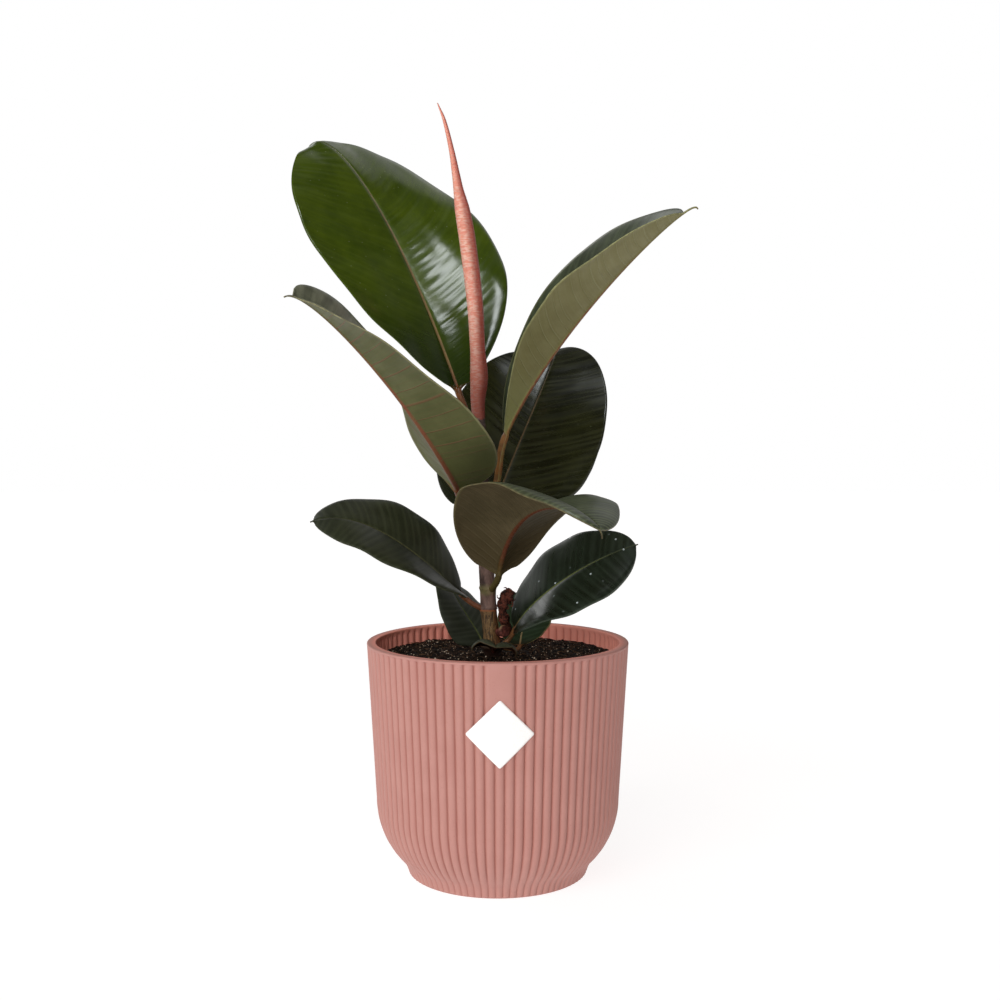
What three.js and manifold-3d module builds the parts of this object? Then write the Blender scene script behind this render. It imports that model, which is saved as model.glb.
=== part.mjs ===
// A young rubber plant in a fluted pot, in millimetres, +Z up, origin at the middle of the pot's underside.
// The front of the pot, with its bare panel and blank label, looks along -Y.

import * as THREE from "three";
import { mergeVertices } from "three/addons/utils/BufferGeometryUtils.js";
import Module from "manifold-3d";

const wasm = await Module();
wasm.setup();

const GAP = 0.3; // clearance between pieces that touch

// ---- pot ----
const POT_HEIGHT = 123;
const RIM_RADIUS = 69.2;
const RIM_BAND = 4.9; // width of the flat top of the rim
const RIM_ROUND = 0.7;
const WAIST_HEIGHT = 40; // the straight wall ends here and the belly begins
const WAIST_RADIUS = 64.4;
const BELLY_RADIUS = 45;
const BELLY_SLOPES = [46, 23, 0]; // degrees, from the foot up
const FOOT_TOP = 5.5;
const FOOT_TOP_RADIUS = 49.2;
const FOOT_EDGE_RADIUS = 47.5;
const FOOT_GROOVE_SHARE = 0.6; // the grooves are shallower on the foot
const FLOOR_THICKNESS = 4;
const WALL_THICKNESS = 3.2;
const INNER_FLOOR_RADIUS = 42;
const RIBS = 84;
const FRONT_DEG = -89; // the panel and the label face this way, seen from above
const PANEL_RIBS = 3; // the bare panel at the front is this many ribs wide
const PANEL_BOTTOM = 87; // below this height, behind the label, the ribs go on
const GROOVE_DEPTH = 0.9;
const GROOVE_HALF_SHARE = 0.2; // half of a groove's width, as a share of the rib pitch
const GROOVE_FADE = 1.6; // the grooves run out over this height, just below the rim
const INNER_FLUTE_BOTTOM = 110;
const INNER_FLUTE_FADE = 1;

// ---- blank label ----
const LABEL_DIAGONAL = 34.4;
const LABEL_HEIGHT = 88; // of its centre
const LABEL_THICKNESS = 0.6;
const LABEL_CORNER = 0.7; // how far each corner is cut back
const LABEL_CELLS = 6;

// ---- soil ----
const SOIL_LEVEL = 114.4;
const SOIL_MOUND = 0.6;
const SOIL_BUMP = 0.45;
const SOIL_FINE_WAVES = [0.61, 0.53]; // radians for each millimetre in X and in Y
const SOIL_BROAD_WAVES = [0.29, 0.47];
const SOIL_BROAD_SHARE = 0.6; // height of the broad waves beside the fine ones
const SOIL_WAVE_START = [1.3, 0.8];
const SOIL_COLUMNS = 36;
const SOIL_RINGS = 6;
const HOLE_DEPTH = 40;
const HOLE_CLEARANCE = 2 * GAP;
const WALL_CLEARANCE = 2 * GAP;

// ---- stem ----
const STEM_ROOT = new THREE.Vector3(-2.6, 0, 77.4); // it stands just clear of the hole's floor
const STEM_PATH = [
  STEM_ROOT,
  new THREE.Vector3(-3, 0, 118),
  new THREE.Vector3(-4.9, 0, 142),
  new THREE.Vector3(-6.9, 0, 180),
  new THREE.Vector3(-10.2, 0, 240.5),
];
const STEM_RADIUS_ROOT = 4.3;
const STEM_RADIUS_TOP = 3.5;
const STEM_SIDES = 14;
const STEM_STEP = 9;
const NODE_SWELL = 0.55; // the ring scar at each leaf
const NODE_HALF_HEIGHT = 1.6;
const LOWEST_NODE = SOIL_LEVEL + 10; // leaves that start lower leave no ring on the stem
const STUB_RADIUS = 3;
const STUB_ROOT_RADIUS = 2.7;
const STUB_SIDES = 14;
const STUB_CENTRE = new THREE.Vector3(3.5, -6, 129);
const STUB_ROOT = new THREE.Vector3(-2.6, 0.4, 126.4);

// ---- rolled sheath round the growing tip: height, sideways place and radius of each ring ----
const SHEATH = [
  { z: 241, x: -10.1, r: 3.42 },
  { z: 250.2, x: -10.5, r: 3.79 },
  { z: 261.7, x: -9.9, r: 4.63 },
  { z: 276.4, x: -10.6, r: 3.99 },
  { z: 302.6, x: -12.2, r: 4.2 },
  { z: 333.9, x: -16, r: 4.3 },
  { z: 348.5, x: -18.4, r: 3.98 },
  { z: 354.8, x: -19.6, r: 3.35 },
  { z: 360, x: -20.6, r: 2.67 },
  { z: 366.2, x: -21.6, r: 2.2 },
  { z: 380.8, x: -24.2, r: 1.41 },
  { z: 396.4, x: -28, r: 0.89 },
  { z: 405.2, x: -31.5, r: 0.26 },
];
const SHEATH_SIDES = 14;
const SHEATH_LEAN = 0.03; // backwards, for each millimetre of height

// ---- dried side shoot beside the stem ----
const DRIED_PATH = [
  { x: 5.4, y: 2, z: 127.8, r: 2.4 },
  { x: 3.5, y: -1, z: 134, r: 2.6 },
  { x: 2.5, y: -2.2, z: 139.5, r: 2.4 },
  { x: 3.2, y: -2.4, z: 144.5, r: 3.4 },
  { x: 5.6, y: -2.2, z: 148, r: 3.2 },
  { x: 7.9, y: -1.8, z: 150.5, r: 1.5 },
];
const DRIED_SIDES = 12;
const DRIED_CRUMPLE = 0.32; // deepest dent, as a share of the radius
const DRIED_DENTS = { around: [2.1, 0.9], along: [1.7, 1.3] };

// ---- leaves ----
// knee: where the petiole becomes the blade. handleA, handleB, tip: the rest of the midrib's curve.
// face: roughly where the upper face looks. roll, foldRight, foldLeft: degrees at the base and at the tip.
// curl: degrees that each half turns on from midrib to margin. evenCurl: the curl has one radius all along,
// so that the tip stays open like the end of a rolled sheet. widest: below 1 is nearer the base.
// bluntBase, bluntTip: 2 is an ellipse, more is fuller. drip: the last part of the blade, which is a narrow
// tip, as a share of its length. attach: height on the stem. rise: slope of the petiole where it leaves the
// stem, in degrees. stalk: petiole radius.
const LEAVES = {
  leaf_top_left: {
    knee: [-21, 8, 255], handleA: [-61, 64, 365], handleB: [-94, 46, 405], tip: [-107, 63, 395],
    face: [0.35, -0.8, 0.45], roll: [-6, 26], foldRight: [28, -11], foldLeft: [29, -10], curl: -1,
    width: 122, widest: 1.29, bluntBase: 1.86, bluntTip: 1.98, drip: 0.03,
    attach: 236, rise: 50, stalk: 1.9, colour: 0x2f4a17,
  },
  leaf_left: {
    knee: [-21, -8, 203], handleA: [-39, -82, 249], handleB: [-92, -62, 305], tip: [-98, -84, 296],
    face: [0.3, 0.6, 0.7], roll: [-1, -57], foldRight: [28, 25], foldLeft: [28, 23], curl: -4,
    width: 66, widest: 0.62, bluntBase: 1.5, bluntTip: 2.23, drip: 0.045,
    attach: 181, rise: 40, stalk: 2, colour: 0x55583a,
  },
  leaf_right: {
    knee: [4, -4, 231], handleA: [28, 4, 286], handleB: [90, -80, 345.5], tip: [94.4, -67, 339],
    face: [-0.5, 0.6, 0.6], roll: [58, 29], foldRight: [68, 11], foldLeft: [66, 10], curl: 9,
    width: 66, widest: 1.3, bluntBase: 1.5, bluntTip: 1.92, drip: 0.055,
    attach: 197, rise: 50, stalk: 1.9, colour: 0x6a6846,
  },
  leaf_back_right: {
    knee: [-1, 10, 193], handleA: [1, 24, 207], handleB: [36, 33, 278.7], tip: [32, 67, 279.7],
    face: [-0.2, -0.8, 0.5], roll: [-8, 10], foldRight: [6, 5], foldLeft: [5, 6], curl: -3,
    width: 91, widest: 0.7, bluntBase: 2.2, bluntTip: 1.9, drip: 0.02,
    attach: 187, rise: 20, stalk: 1.9, colour: 0x20231a,
  },
  leaf_front: {
    knee: [0.6, -10.5, 159], handleA: [10, -28, 216], handleB: [50, -106, 196], tip: [47, -105, 186],
    face: [0.1, 0.5, 0.8], roll: [21, 12], foldRight: [58, 19], foldLeft: [42, 20], curl: -37,
    width: 75, widest: 0.82, bluntBase: 1.85, bluntTip: 1.65, drip: 0.04,
    attach: 150, rise: 40, stalk: 1.8, colour: 0x3d3727,
  },
  leaf_lower_left: {
    knee: [-19, -6, 148], handleA: [-40, -28, 171], handleB: [-68, -28, 197], tip: [-95, -29, 188],
    face: [0.2, -0.5, 0.8], roll: [5, 0], foldRight: [25, -3], foldLeft: [26, -3], curl: -3,
    width: 54, widest: 0.94, bluntBase: 1.8, bluntTip: 1.82, drip: 0.018,
    attach: 140, rise: 20, stalk: 1.4, colour: 0x252a1b,
  },
  leaf_lower_right: {
    knee: [9, -2, 129], handleA: [17, -11, 148], handleB: [48, -22, 169], tip: [72, -22, 176],
    face: [-0.2, -0.6, 0.7], roll: [-20, 17], foldRight: [20, -9], foldLeft: [18, -7], curl: -4,
    width: 50, widest: 0.93, bluntBase: 1.85, bluntTip: 1.9, drip: 0.018,
    attach: 120, rise: 10, stalk: 1.3, colour: 0x1c221c,
  },
  leaf_low_back_left: {
    knee: [-8, 7, 119], handleA: [-9, 15, 125], handleB: [-23, 12, 140], tip: [-31, 18, 161],
    face: [0.1, -0.9, 0.4], roll: [5, 57], foldRight: [2, -3], foldLeft: [3, 2], curl: -16,
    width: 30, widest: 0.73, bluntBase: 1.9, bluntTip: 2, drip: 0.03,
    attach: 118.5, rise: 15, stalk: 1.2, colour: 0x1f2620,
  },
  leaf_low_back_right: {
    knee: [12, 7, 119], handleA: [13, 11, 128], handleB: [16, 12, 138], tip: [23, 19, 146],
    face: [-0.1, -0.9, 0.4], roll: [-19, -7], foldRight: [13, 6], foldLeft: [11, 5], curl: 4,
    width: 31, widest: 0.92, bluntBase: 1.9, bluntTip: 2, drip: 0.03,
    attach: 118.5, rise: 10, stalk: 1.2, colour: 0x1e2a1c,
  },
  leaf_low_front: {
    knee: [-2, -7.5, 118.4], handleA: [-2, -11, 121.6], handleB: [-1, -17, 123.8], tip: [-1, -23.5, 122.6],
    face: [0, -0.2, 1], roll: [0, 0], foldRight: [56, 62], foldLeft: [38, 42], curl: -135, evenCurl: true,
    width: 32, widest: 1.25, bluntBase: 2.2, bluntTip: 3.8, drip: 0.02,
    attach: 118.5, rise: 10, stalk: 1.1, colour: 0x2a1712,
  },
};
const BLADE_RINGS = 17;
const STALK_RINGS = 3;
const BLADE_THICKNESS = 1;
const MARGIN_THICKNESS = 0.7;
const MIDRIB_DEPTH = 0.8; // how far the midrib stands out below, at the base of the blade
const MIDRIB_SHARE = 0.8; // midrib half-width at the base, as a share of the petiole's radius
const MIDRIB_TIP = 0.3; // the midrib's size at the tip, as a share of its size at the base
const MIDRIB_LIMIT = 0.4; // the midrib takes at most this share of the blade's half-width
const USUAL_STALK = 1.9; // the midrib stands out by its full depth on a petiole of this radius
const DRIP_HALF_WIDTH = 1.1;
const NECK_SHARE = 0.05; // over this first part of the blade the petiole's width dies away
const FLARE_SHARE = 0.02; // over this part the round petiole flattens into the blade
const FOLD_SHARE = 0.015; // and over this part its two halves fold up
const PETIOLE_PULL = 0.36; // length of the petiole's handles, as a share of its span
const WAVE = 0.7; // height of the slow waves along the margin
const WAVES = 3.5;
const LANES = [0, 0.33, 0.68, 1]; // places across each half of the blade, outside the midrib

// ---- plain colours ----
const COLOUR = {
  pot: 0xc8938a,
  label: 0xf4f2ef,
  soil: 0x1b1512,
  stem: 0x5a4634,
  sheath: 0xd98878,
  dried: 0x4a2218,
};
const ROUGHNESS = { pot: 0.6, label: 0.5, soil: 0.95, stem: 0.7, sheath: 0.5, dried: 0.85, leaf: 0.3 };

const { PI, sin, cos, abs, min, max, sqrt, hypot } = Math;
const radians = (degrees) => (degrees * PI) / 180;
const mix = (a, b, t) => a + (b - a) * t;
const smooth = (t) => t * t * (3 - 2 * t);
const clamp = (t) => min(1, max(0, t));

// ---- closed surfaces from rings of points ----

// A triangle list between two rings, which may have different numbers of points.
function bandBetween(startA, countA, startB, countB) {
  const faces = [];
  let a = 0;
  let b = 0;
  while (a < countA || b < countB) {
    const stepA = a < countA && (b >= countB || (a + 1) / countA <= (b + 1) / countB);
    const cornerA = startA + (a % countA);
    const cornerB = startB + (b % countB);
    if (stepA) {
      faces.push([cornerA, startA + ((a + 1) % countA), cornerB]);
      a += 1;
    } else {
      faces.push([cornerA, startB + ((b + 1) % countB), cornerB]);
      b += 1;
    }
  }
  return faces;
}

// Rings of equal size joined by quads; flipAt(j) says which way quad j of each band is split.
function bandOfQuads(startA, startB, count, flipAt) {
  const faces = [];
  for (let j = 0; j < count; j += 1) {
    const next = (j + 1) % count;
    const [a, b, c, d] = [startA + j, startA + next, startB + next, startB + j];
    if (flipAt(j)) faces.push([a, b, d], [b, c, d]);
    else faces.push([a, b, c], [a, c, d]);
  }
  return faces;
}

// A closed geometry from rings, with a point in the middle of the first and of the last ring.
function closedFromRings(rings, flipAt = null) {
  const points = [];
  const starts = [];
  for (const ring of rings) {
    starts.push(points.length);
    points.push(...ring);
  }
  const faces = [];
  for (let i = 0; i + 1 < rings.length; i += 1) {
    const [sizeA, sizeB] = [rings[i].length, rings[i + 1].length];
    if (flipAt) faces.push(...bandOfQuads(starts[i], starts[i + 1], sizeA, flipAt));
    else faces.push(...bandBetween(starts[i], sizeA, starts[i + 1], sizeB));
  }
  const ends = [0, rings.length - 1];
  for (const end of ends) {
    const ring = rings[end];
    const middle = ring.reduce((sum, p) => sum.add(p), new THREE.Vector3()).divideScalar(ring.length);
    const middleIndex = points.push(middle) - 1;
    for (let j = 0; j < ring.length; j += 1) {
      const here = starts[end] + j;
      const next = starts[end] + ((j + 1) % ring.length);
      faces.push(end === 0 ? [next, here, middleIndex] : [here, next, middleIndex]);
    }
  }
  return facingOut(points, faces);
}

// A geometry whose triangles all face out, whichever way round the rings were given.
function facingOut(points, faces) {
  let volume = 0;
  for (const [a, b, c] of faces) volume += points[a].dot(points[b].clone().cross(points[c]));
  const turned = volume < 0 ? faces.map(([a, b, c]) => [a, c, b]) : faces;
  const geometry = new THREE.BufferGeometry();
  geometry.setFromPoints(points);
  geometry.setIndex(turned.flat());
  return geometry;
}

// Rings of a round, tapering body along a path; shape(i, j) scales each radius.
function ringsAlong(stations, sides, shape = () => 1) {
  const curve = new THREE.CatmullRomCurve3(stations.map((s) => s.centre), false, "centripetal");
  return stations.map((station, i) => {
    const along = curve.getTangent(i / (stations.length - 1));
    const across = new THREE.Vector3(0, 1, 0).cross(along).normalize();
    const other = along.clone().cross(across);
    const ring = [];
    for (let j = 0; j < sides; j += 1) {
      const turn = (2 * PI * j) / sides;
      const reach = station.radius * shape(i, j);
      const point = station.centre.clone().addScaledVector(across, reach * cos(turn));
      ring.push(point.addScaledVector(other, reach * sin(turn)));
    }
    return ring;
  });
}

// ---- joining solids ----

function solidFrom(geometry) {
  const bare = geometry.clone();
  bare.deleteAttribute("normal");
  bare.deleteAttribute("uv");
  const merged = mergeVertices(bare, 1e-4);
  const vertProperties = new Float32Array(merged.attributes.position.array);
  const triVerts = new Uint32Array(merged.index.array);
  return new wasm.Manifold(new wasm.Mesh({ numProp: 3, vertProperties, triVerts }));
}

function geometryFrom(solid) {
  const mesh = solid.getMesh();
  const geometry = new THREE.BufferGeometry();
  geometry.setAttribute("position", new THREE.BufferAttribute(new Float32Array(mesh.vertProperties), 3));
  geometry.setIndex(new THREE.BufferAttribute(new Uint32Array(mesh.triVerts), 1));
  return geometry;
}

// ---- pot ----

const front = radians(FRONT_DEG);
const pitch = (2 * PI) / RIBS;

// Outer wall radius at a height, before the ribs are cut in.
function wallRadius(z) {
  if (z >= WAIST_HEIGHT) {
    return mix(WAIST_RADIUS, RIM_RADIUS, (z - WAIST_HEIGHT) / (POT_HEIGHT - WAIST_HEIGHT));
  }
  const drop = WAIST_HEIGHT - z;
  return WAIST_RADIUS - BELLY_RADIUS + sqrt(BELLY_RADIUS ** 2 - drop ** 2);
}

// A ring of the ribbed wall: three columns for each rib, the first in the groove on its right.
function ribbedRing(radius, z, depth, bareRibs = 0) {
  const ring = [];
  for (let rib = 0; rib < RIBS; rib += 1) {
    const fromFront = abs(rib > RIBS / 2 ? rib - RIBS - 0.5 : rib - 0.5); // to this rib's groove, in ribs
    const bare = fromFront < bareRibs / 2 - 0.1;
    for (const share of [0, GROOVE_HALF_SHARE, 1 - GROOVE_HALF_SHARE]) {
      const reach = radius - (share === 0 && !bare ? depth : 0);
      const angle = front + (rib - 0.5 + share) * pitch;
      ring.push(new THREE.Vector3(reach * cos(angle), reach * sin(angle), z));
    }
  }
  return ring;
}

// Rings without ribs need only one column for each rib.
function plainRing(radius, z, count = RIBS) {
  const ring = [];
  for (let j = 0; j < count; j += 1) {
    const angle = front + (j - 0.5) * ((2 * PI) / count);
    ring.push(new THREE.Vector3(radius * cos(angle), radius * sin(angle), z));
  }
  return ring;
}

function pot() {
  const rings = [ribbedRing(FOOT_EDGE_RADIUS, 0, GROOVE_DEPTH * FOOT_GROOVE_SHARE)];
  rings.push(ribbedRing(FOOT_TOP_RADIUS, FOOT_TOP, GROOVE_DEPTH * FOOT_GROOVE_SHARE));
  const bellyCentre = WAIST_RADIUS - BELLY_RADIUS;
  for (const slope of BELLY_SLOPES) {
    const radius = bellyCentre + BELLY_RADIUS * cos(radians(slope));
    rings.push(ribbedRing(radius, WAIST_HEIGHT - BELLY_RADIUS * sin(radians(slope)), GROOVE_DEPTH));
  }
  const fadeTop = POT_HEIGHT - GROOVE_FADE;
  const fadeBottom = fadeTop - GROOVE_FADE;
  rings.push(ribbedRing(wallRadius(PANEL_BOTTOM), PANEL_BOTTOM, GROOVE_DEPTH));
  const panelEdge = PANEL_BOTTOM + GROOVE_FADE;
  rings.push(ribbedRing(wallRadius(panelEdge), panelEdge, GROOVE_DEPTH, PANEL_RIBS));
  rings.push(ribbedRing(wallRadius(fadeBottom), fadeBottom, GROOVE_DEPTH, PANEL_RIBS));
  rings.push(plainRing(wallRadius(fadeTop), fadeTop));
  rings.push(plainRing(RIM_RADIUS, POT_HEIGHT - RIM_ROUND));
  rings.push(plainRing(RIM_RADIUS - RIM_ROUND, POT_HEIGHT));
  const innerRim = RIM_RADIUS - RIM_BAND;
  rings.push(plainRing(innerRim + RIM_ROUND, POT_HEIGHT));
  rings.push(plainRing(innerRim, POT_HEIGHT - RIM_ROUND));
  rings.push(ribbedRing(innerWall(fadeBottom), fadeBottom, -GROOVE_DEPTH));
  rings.push(ribbedRing(innerWall(INNER_FLUTE_BOTTOM), INNER_FLUTE_BOTTOM, -GROOVE_DEPTH));
  rings.push(plainRing(innerWall(INNER_FLUTE_BOTTOM), INNER_FLUTE_BOTTOM - INNER_FLUTE_FADE));
  rings.push(plainRing(innerWall(WAIST_HEIGHT), WAIST_HEIGHT, SOIL_COLUMNS));
  rings.push(plainRing(innerWall(WAIST_HEIGHT / 2), WAIST_HEIGHT / 2, SOIL_COLUMNS));
  rings.push(plainRing(INNER_FLOOR_RADIUS, FLOOR_THICKNESS, SOIL_COLUMNS));
  return closedFromRings(rings);
}

// Inner wall radius: the rim band narrows to the wall's own thickness further down.
function innerWall(z) {
  const band = mix(WALL_THICKNESS, RIM_BAND, clamp((z - WAIST_HEIGHT) / (POT_HEIGHT - WAIST_HEIGHT)));
  return wallRadius(z) - band;
}

// ---- label: a thin square on its corner, bent round the wall ----

function label() {
  const half = LABEL_DIAGONAL / 2;
  const [rows, points] = [LABEL_CELLS + 1, []];
  for (const lift of [GAP, GAP + LABEL_THICKNESS]) {
    for (let i = 0; i < rows; i += 1) {
      for (let j = 0; j < rows; j += 1) {
        const [a, b] = [i / LABEL_CELLS, j / LABEL_CELLS];
        const corner = (i === 0 || i === LABEL_CELLS) && (j === 0 || j === LABEL_CELLS);
        const shrink = corner ? 1 - LABEL_CORNER / half : 1;
        const z = LABEL_HEIGHT + (a + b - 1) * half * shrink;
        const radius = wallRadius(z) + lift;
        const angle = front + ((a - b) * half * shrink) / radius;
        points.push(new THREE.Vector3(radius * cos(angle), radius * sin(angle), z));
      }
    }
  }
  const inside = 0;
  const outside = rows * rows;
  const at = (side, i, j) => side + i * rows + j;
  const faces = [];
  const quad = (a, b, c, d) => faces.push([a, b, c], [a, c, d]);
  for (let i = 0; i < LABEL_CELLS; i += 1) {
    for (let j = 0; j < LABEL_CELLS; j += 1) {
      quad(at(outside, i, j), at(outside, i + 1, j), at(outside, i + 1, j + 1), at(outside, i, j + 1));
      quad(at(inside, i, j), at(inside, i, j + 1), at(inside, i + 1, j + 1), at(inside, i + 1, j));
    }
  }
  const last = LABEL_CELLS;
  for (let k = 0; k < LABEL_CELLS; k += 1) {
    quad(at(inside, k, 0), at(inside, k + 1, 0), at(outside, k + 1, 0), at(outside, k, 0));
    quad(at(inside, k + 1, last), at(inside, k, last), at(outside, k, last), at(outside, k + 1, last));
    quad(at(inside, 0, k + 1), at(inside, 0, k), at(outside, 0, k), at(outside, 0, k + 1));
    quad(at(inside, last, k), at(inside, last, k + 1), at(outside, last, k + 1), at(outside, last, k));
  }
  return facingOut(points, faces);
}

// ---- soil: a plug that fills the pot, with a bumpy top and a plain hole for the stem ----

function soilTop(x, y) {
  const mound = SOIL_MOUND * (1 - hypot(x, y) / RIM_RADIUS);
  const fine = sin(SOIL_FINE_WAVES[0] * x + SOIL_WAVE_START[0]) * cos(SOIL_FINE_WAVES[1] * y);
  const broad = sin(SOIL_BROAD_WAVES[0] * x - SOIL_BROAD_WAVES[1] * y + SOIL_WAVE_START[1]);
  return SOIL_LEVEL + mound + (SOIL_BUMP * (fine + SOIL_BROAD_SHARE * broad)) / (1 + SOIL_BROAD_SHARE);
}

function soilRing(radius, centreX, heightAt) {
  const ring = [];
  for (let j = 0; j < SOIL_COLUMNS; j += 1) {
    const turn = (2 * PI * j) / SOIL_COLUMNS;
    const [x, y] = [centreX + radius * cos(turn), radius * sin(turn)];
    ring.push(new THREE.Vector3(x, y, heightAt(x, y)));
  }
  return ring;
}

function soil() {
  const holeRadius = STEM_RADIUS_ROOT + HOLE_CLEARANCE;
  const holeX = STEM_PATH[1].x;
  const holeBottom = SOIL_LEVEL - HOLE_DEPTH;
  const outer = innerWall(INNER_FLUTE_BOTTOM) - WALL_CLEARANCE;
  const rings = [soilRing(holeRadius, STEM_ROOT.x, () => holeBottom)];
  for (let i = 0; i <= SOIL_RINGS; i += 1) {
    const share = i / SOIL_RINGS;
    rings.push(soilRing(mix(holeRadius, outer, share), holeX * (1 - share), soilTop));
  }
  const belly = WAIST_HEIGHT / 2;
  rings.push(soilRing(innerWall(WAIST_HEIGHT) - WALL_CLEARANCE, 0, () => WAIST_HEIGHT));
  rings.push(soilRing(innerWall(belly) - WALL_CLEARANCE - GAP, 0, () => belly));
  rings.push(soilRing(INNER_FLOOR_RADIUS - WALL_CLEARANCE, 0, () => FLOOR_THICKNESS + GAP));
  return closedFromRings(rings);
}

// ---- stem ----

const stemCurve = new THREE.CatmullRomCurve3(STEM_PATH, false, "centripetal");
const stemRootZ = STEM_PATH[0].z;
const stemTopZ = STEM_PATH[STEM_PATH.length - 1].z;

const HALVINGS = 30;

// The stem's centre at a height, found by halving because the curve always rises.
function stemCentre(z) {
  let [low, high] = [0, 1];
  for (let step = 0; step < HALVINGS; step += 1) {
    const middle = (low + high) / 2;
    if (stemCurve.getPoint(middle).z < z) low = middle;
    else high = middle;
  }
  return stemCurve.getPoint(low);
}

function stemRadius(z) {
  return mix(STEM_RADIUS_ROOT, STEM_RADIUS_TOP, smooth(clamp((z - SOIL_LEVEL) / (stemTopZ - SOIL_LEVEL))));
}

function stem() {
  const nodes = Object.values(LEAVES).map((leaf) => leaf.attach).filter((z) => z > LOWEST_NODE);
  const heights = new Set([stemRootZ, stemTopZ]);
  for (let z = stemRootZ + STEM_STEP * 2; z < stemTopZ - STEM_STEP / 2; z += STEM_STEP) {
    if (nodes.every((node) => abs(node - z) > STEM_STEP / 2)) heights.add(z);
  }
  for (const node of nodes) {
    for (const offset of [-1, 0, 1]) heights.add(min(stemTopZ, node + offset * NODE_HALF_HEIGHT));
  }
  const stations = [...heights].sort((a, b) => a - b).map((z) => {
    const swell = nodes.includes(z) ? NODE_SWELL : 0;
    return { centre: stemCentre(z), radius: stemRadius(z) + swell };
  });
  const shaft = solidFrom(closedFromRings(ringsAlong(stations, STEM_SIDES)));
  const stubLength = STUB_CENTRE.distanceTo(STUB_ROOT);
  const stub = new THREE.CylinderGeometry(STUB_RADIUS, STUB_ROOT_RADIUS, stubLength, STUB_SIDES);
  stub.translate(0, stubLength / 2, 0);
  const outward = STUB_CENTRE.clone().sub(STUB_ROOT).normalize();
  stub.applyQuaternion(new THREE.Quaternion().setFromUnitVectors(new THREE.Vector3(0, 1, 0), outward));
  stub.translate(STUB_ROOT.x, STUB_ROOT.y, STUB_ROOT.z);
  return geometryFrom(shaft.add(solidFrom(stub)));
}

// ---- sheath of the growing tip ----

function sheath() {
  const baseZ = SHEATH[0].z;
  const stations = SHEATH.map(({ z, x, r }) => ({
    centre: new THREE.Vector3(x, SHEATH_LEAN * (z - baseZ), z),
    radius: r,
  }));
  return closedFromRings(ringsAlong(stations, SHEATH_SIDES));
}

// ---- dried side shoot ----

function driedShoot() {
  const curve = new THREE.CatmullRomCurve3(DRIED_PATH.map(({ x, y, z }) => new THREE.Vector3(x, y, z)));
  const steps = 2 * (DRIED_PATH.length - 1);
  const stations = [];
  for (let i = 0; i <= steps; i += 1) {
    const place = (i / steps) * (DRIED_PATH.length - 1);
    const [low, high] = [Math.floor(place), Math.ceil(place)];
    const radius = mix(DRIED_PATH[low].r, DRIED_PATH[high].r, place - low);
    stations.push({ centre: curve.getPoint(i / steps), radius });
  }
  const { around, along } = DRIED_DENTS;
  const crumple = (i, j) => {
    const dent = sin(around[0] * j + along[0] * i) * cos(along[1] * i - around[1] * j);
    return 1 - (DRIED_CRUMPLE * (1 + dent)) / 2;
  };
  return closedFromRings(ringsAlong(stations, DRIED_SIDES, crumple));
}

// ---- leaves ----

// Half-width of the blade at a share of its length.
function halfWidth(leaf, share) {
  const body = clamp(share / (1 - leaf.drip)) ** leaf.widest;
  const blunt = body < 0.5 ? leaf.bluntBase : leaf.bluntTip;
  const oval = max(0, 1 - abs(2 * body - 1) ** blunt) ** (1 / blunt);
  const drip = DRIP_HALF_WIDTH * clamp((1 - share) / (2 * leaf.drip));
  const neck = leaf.stalk * clamp(1 - share / NECK_SHARE);
  return max(MARGIN_THICKNESS / 2, hypot((leaf.width / 2) * oval, drip, neck));
}

// Frame of the midrib: along it, out of the upper face, and to the right of one who faces the upper
// side with the tip up.
function midribFrame(leaf, along, rollDegrees) {
  const face = new THREE.Vector3(...leaf.face).normalize();
  const up = face.addScaledVector(along, -face.dot(along)).normalize();
  const right = along.clone().cross(up);
  const roll = radians(rollDegrees);
  return {
    up: up.clone().multiplyScalar(cos(roll)).addScaledVector(right, sin(roll)),
    right: right.clone().multiplyScalar(cos(roll)).addScaledVector(up, -sin(roll)),
  };
}

// A point of the blade's cross-section: distance out from the midrib along the curved half, and height
// above the middle of the blade. The curl is complete at curlSpan from the midrib.
function acrossBlade(centre, frame, distance, height, foldDegrees, curlDegrees, curlSpan) {
  const side = distance < 0 ? -1 : 1;
  const reach = abs(distance);
  const fold = radians(foldDegrees);
  const bend = radians(curlDegrees) / curlSpan;
  const angle = fold + bend * reach;
  const out = abs(bend) < 1e-6 ? reach * cos(fold) : (sin(angle) - sin(fold)) / bend;
  const lift = abs(bend) < 1e-6 ? reach * sin(fold) : (cos(fold) - cos(angle)) / bend;
  const point = centre.clone();
  point.addScaledVector(frame.right, side * (out - height * sin(angle)));
  return point.addScaledVector(frame.up, lift + height * cos(angle));
}

// Places across the blade from the left margin to the right one, each with its distance from the
// midrib's edge as a share of the half. Side 0 is the midrib itself.
const ACROSS = [
  ...LANES.slice(1).reverse().map((lane) => ({ side: -1, lane })),
  { side: -1, lane: 0 },
  { side: 0, lane: 0 },
  { side: 1, lane: 0 },
  ...LANES.slice(1).map((lane) => ({ side: 1, lane })),
];

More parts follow.
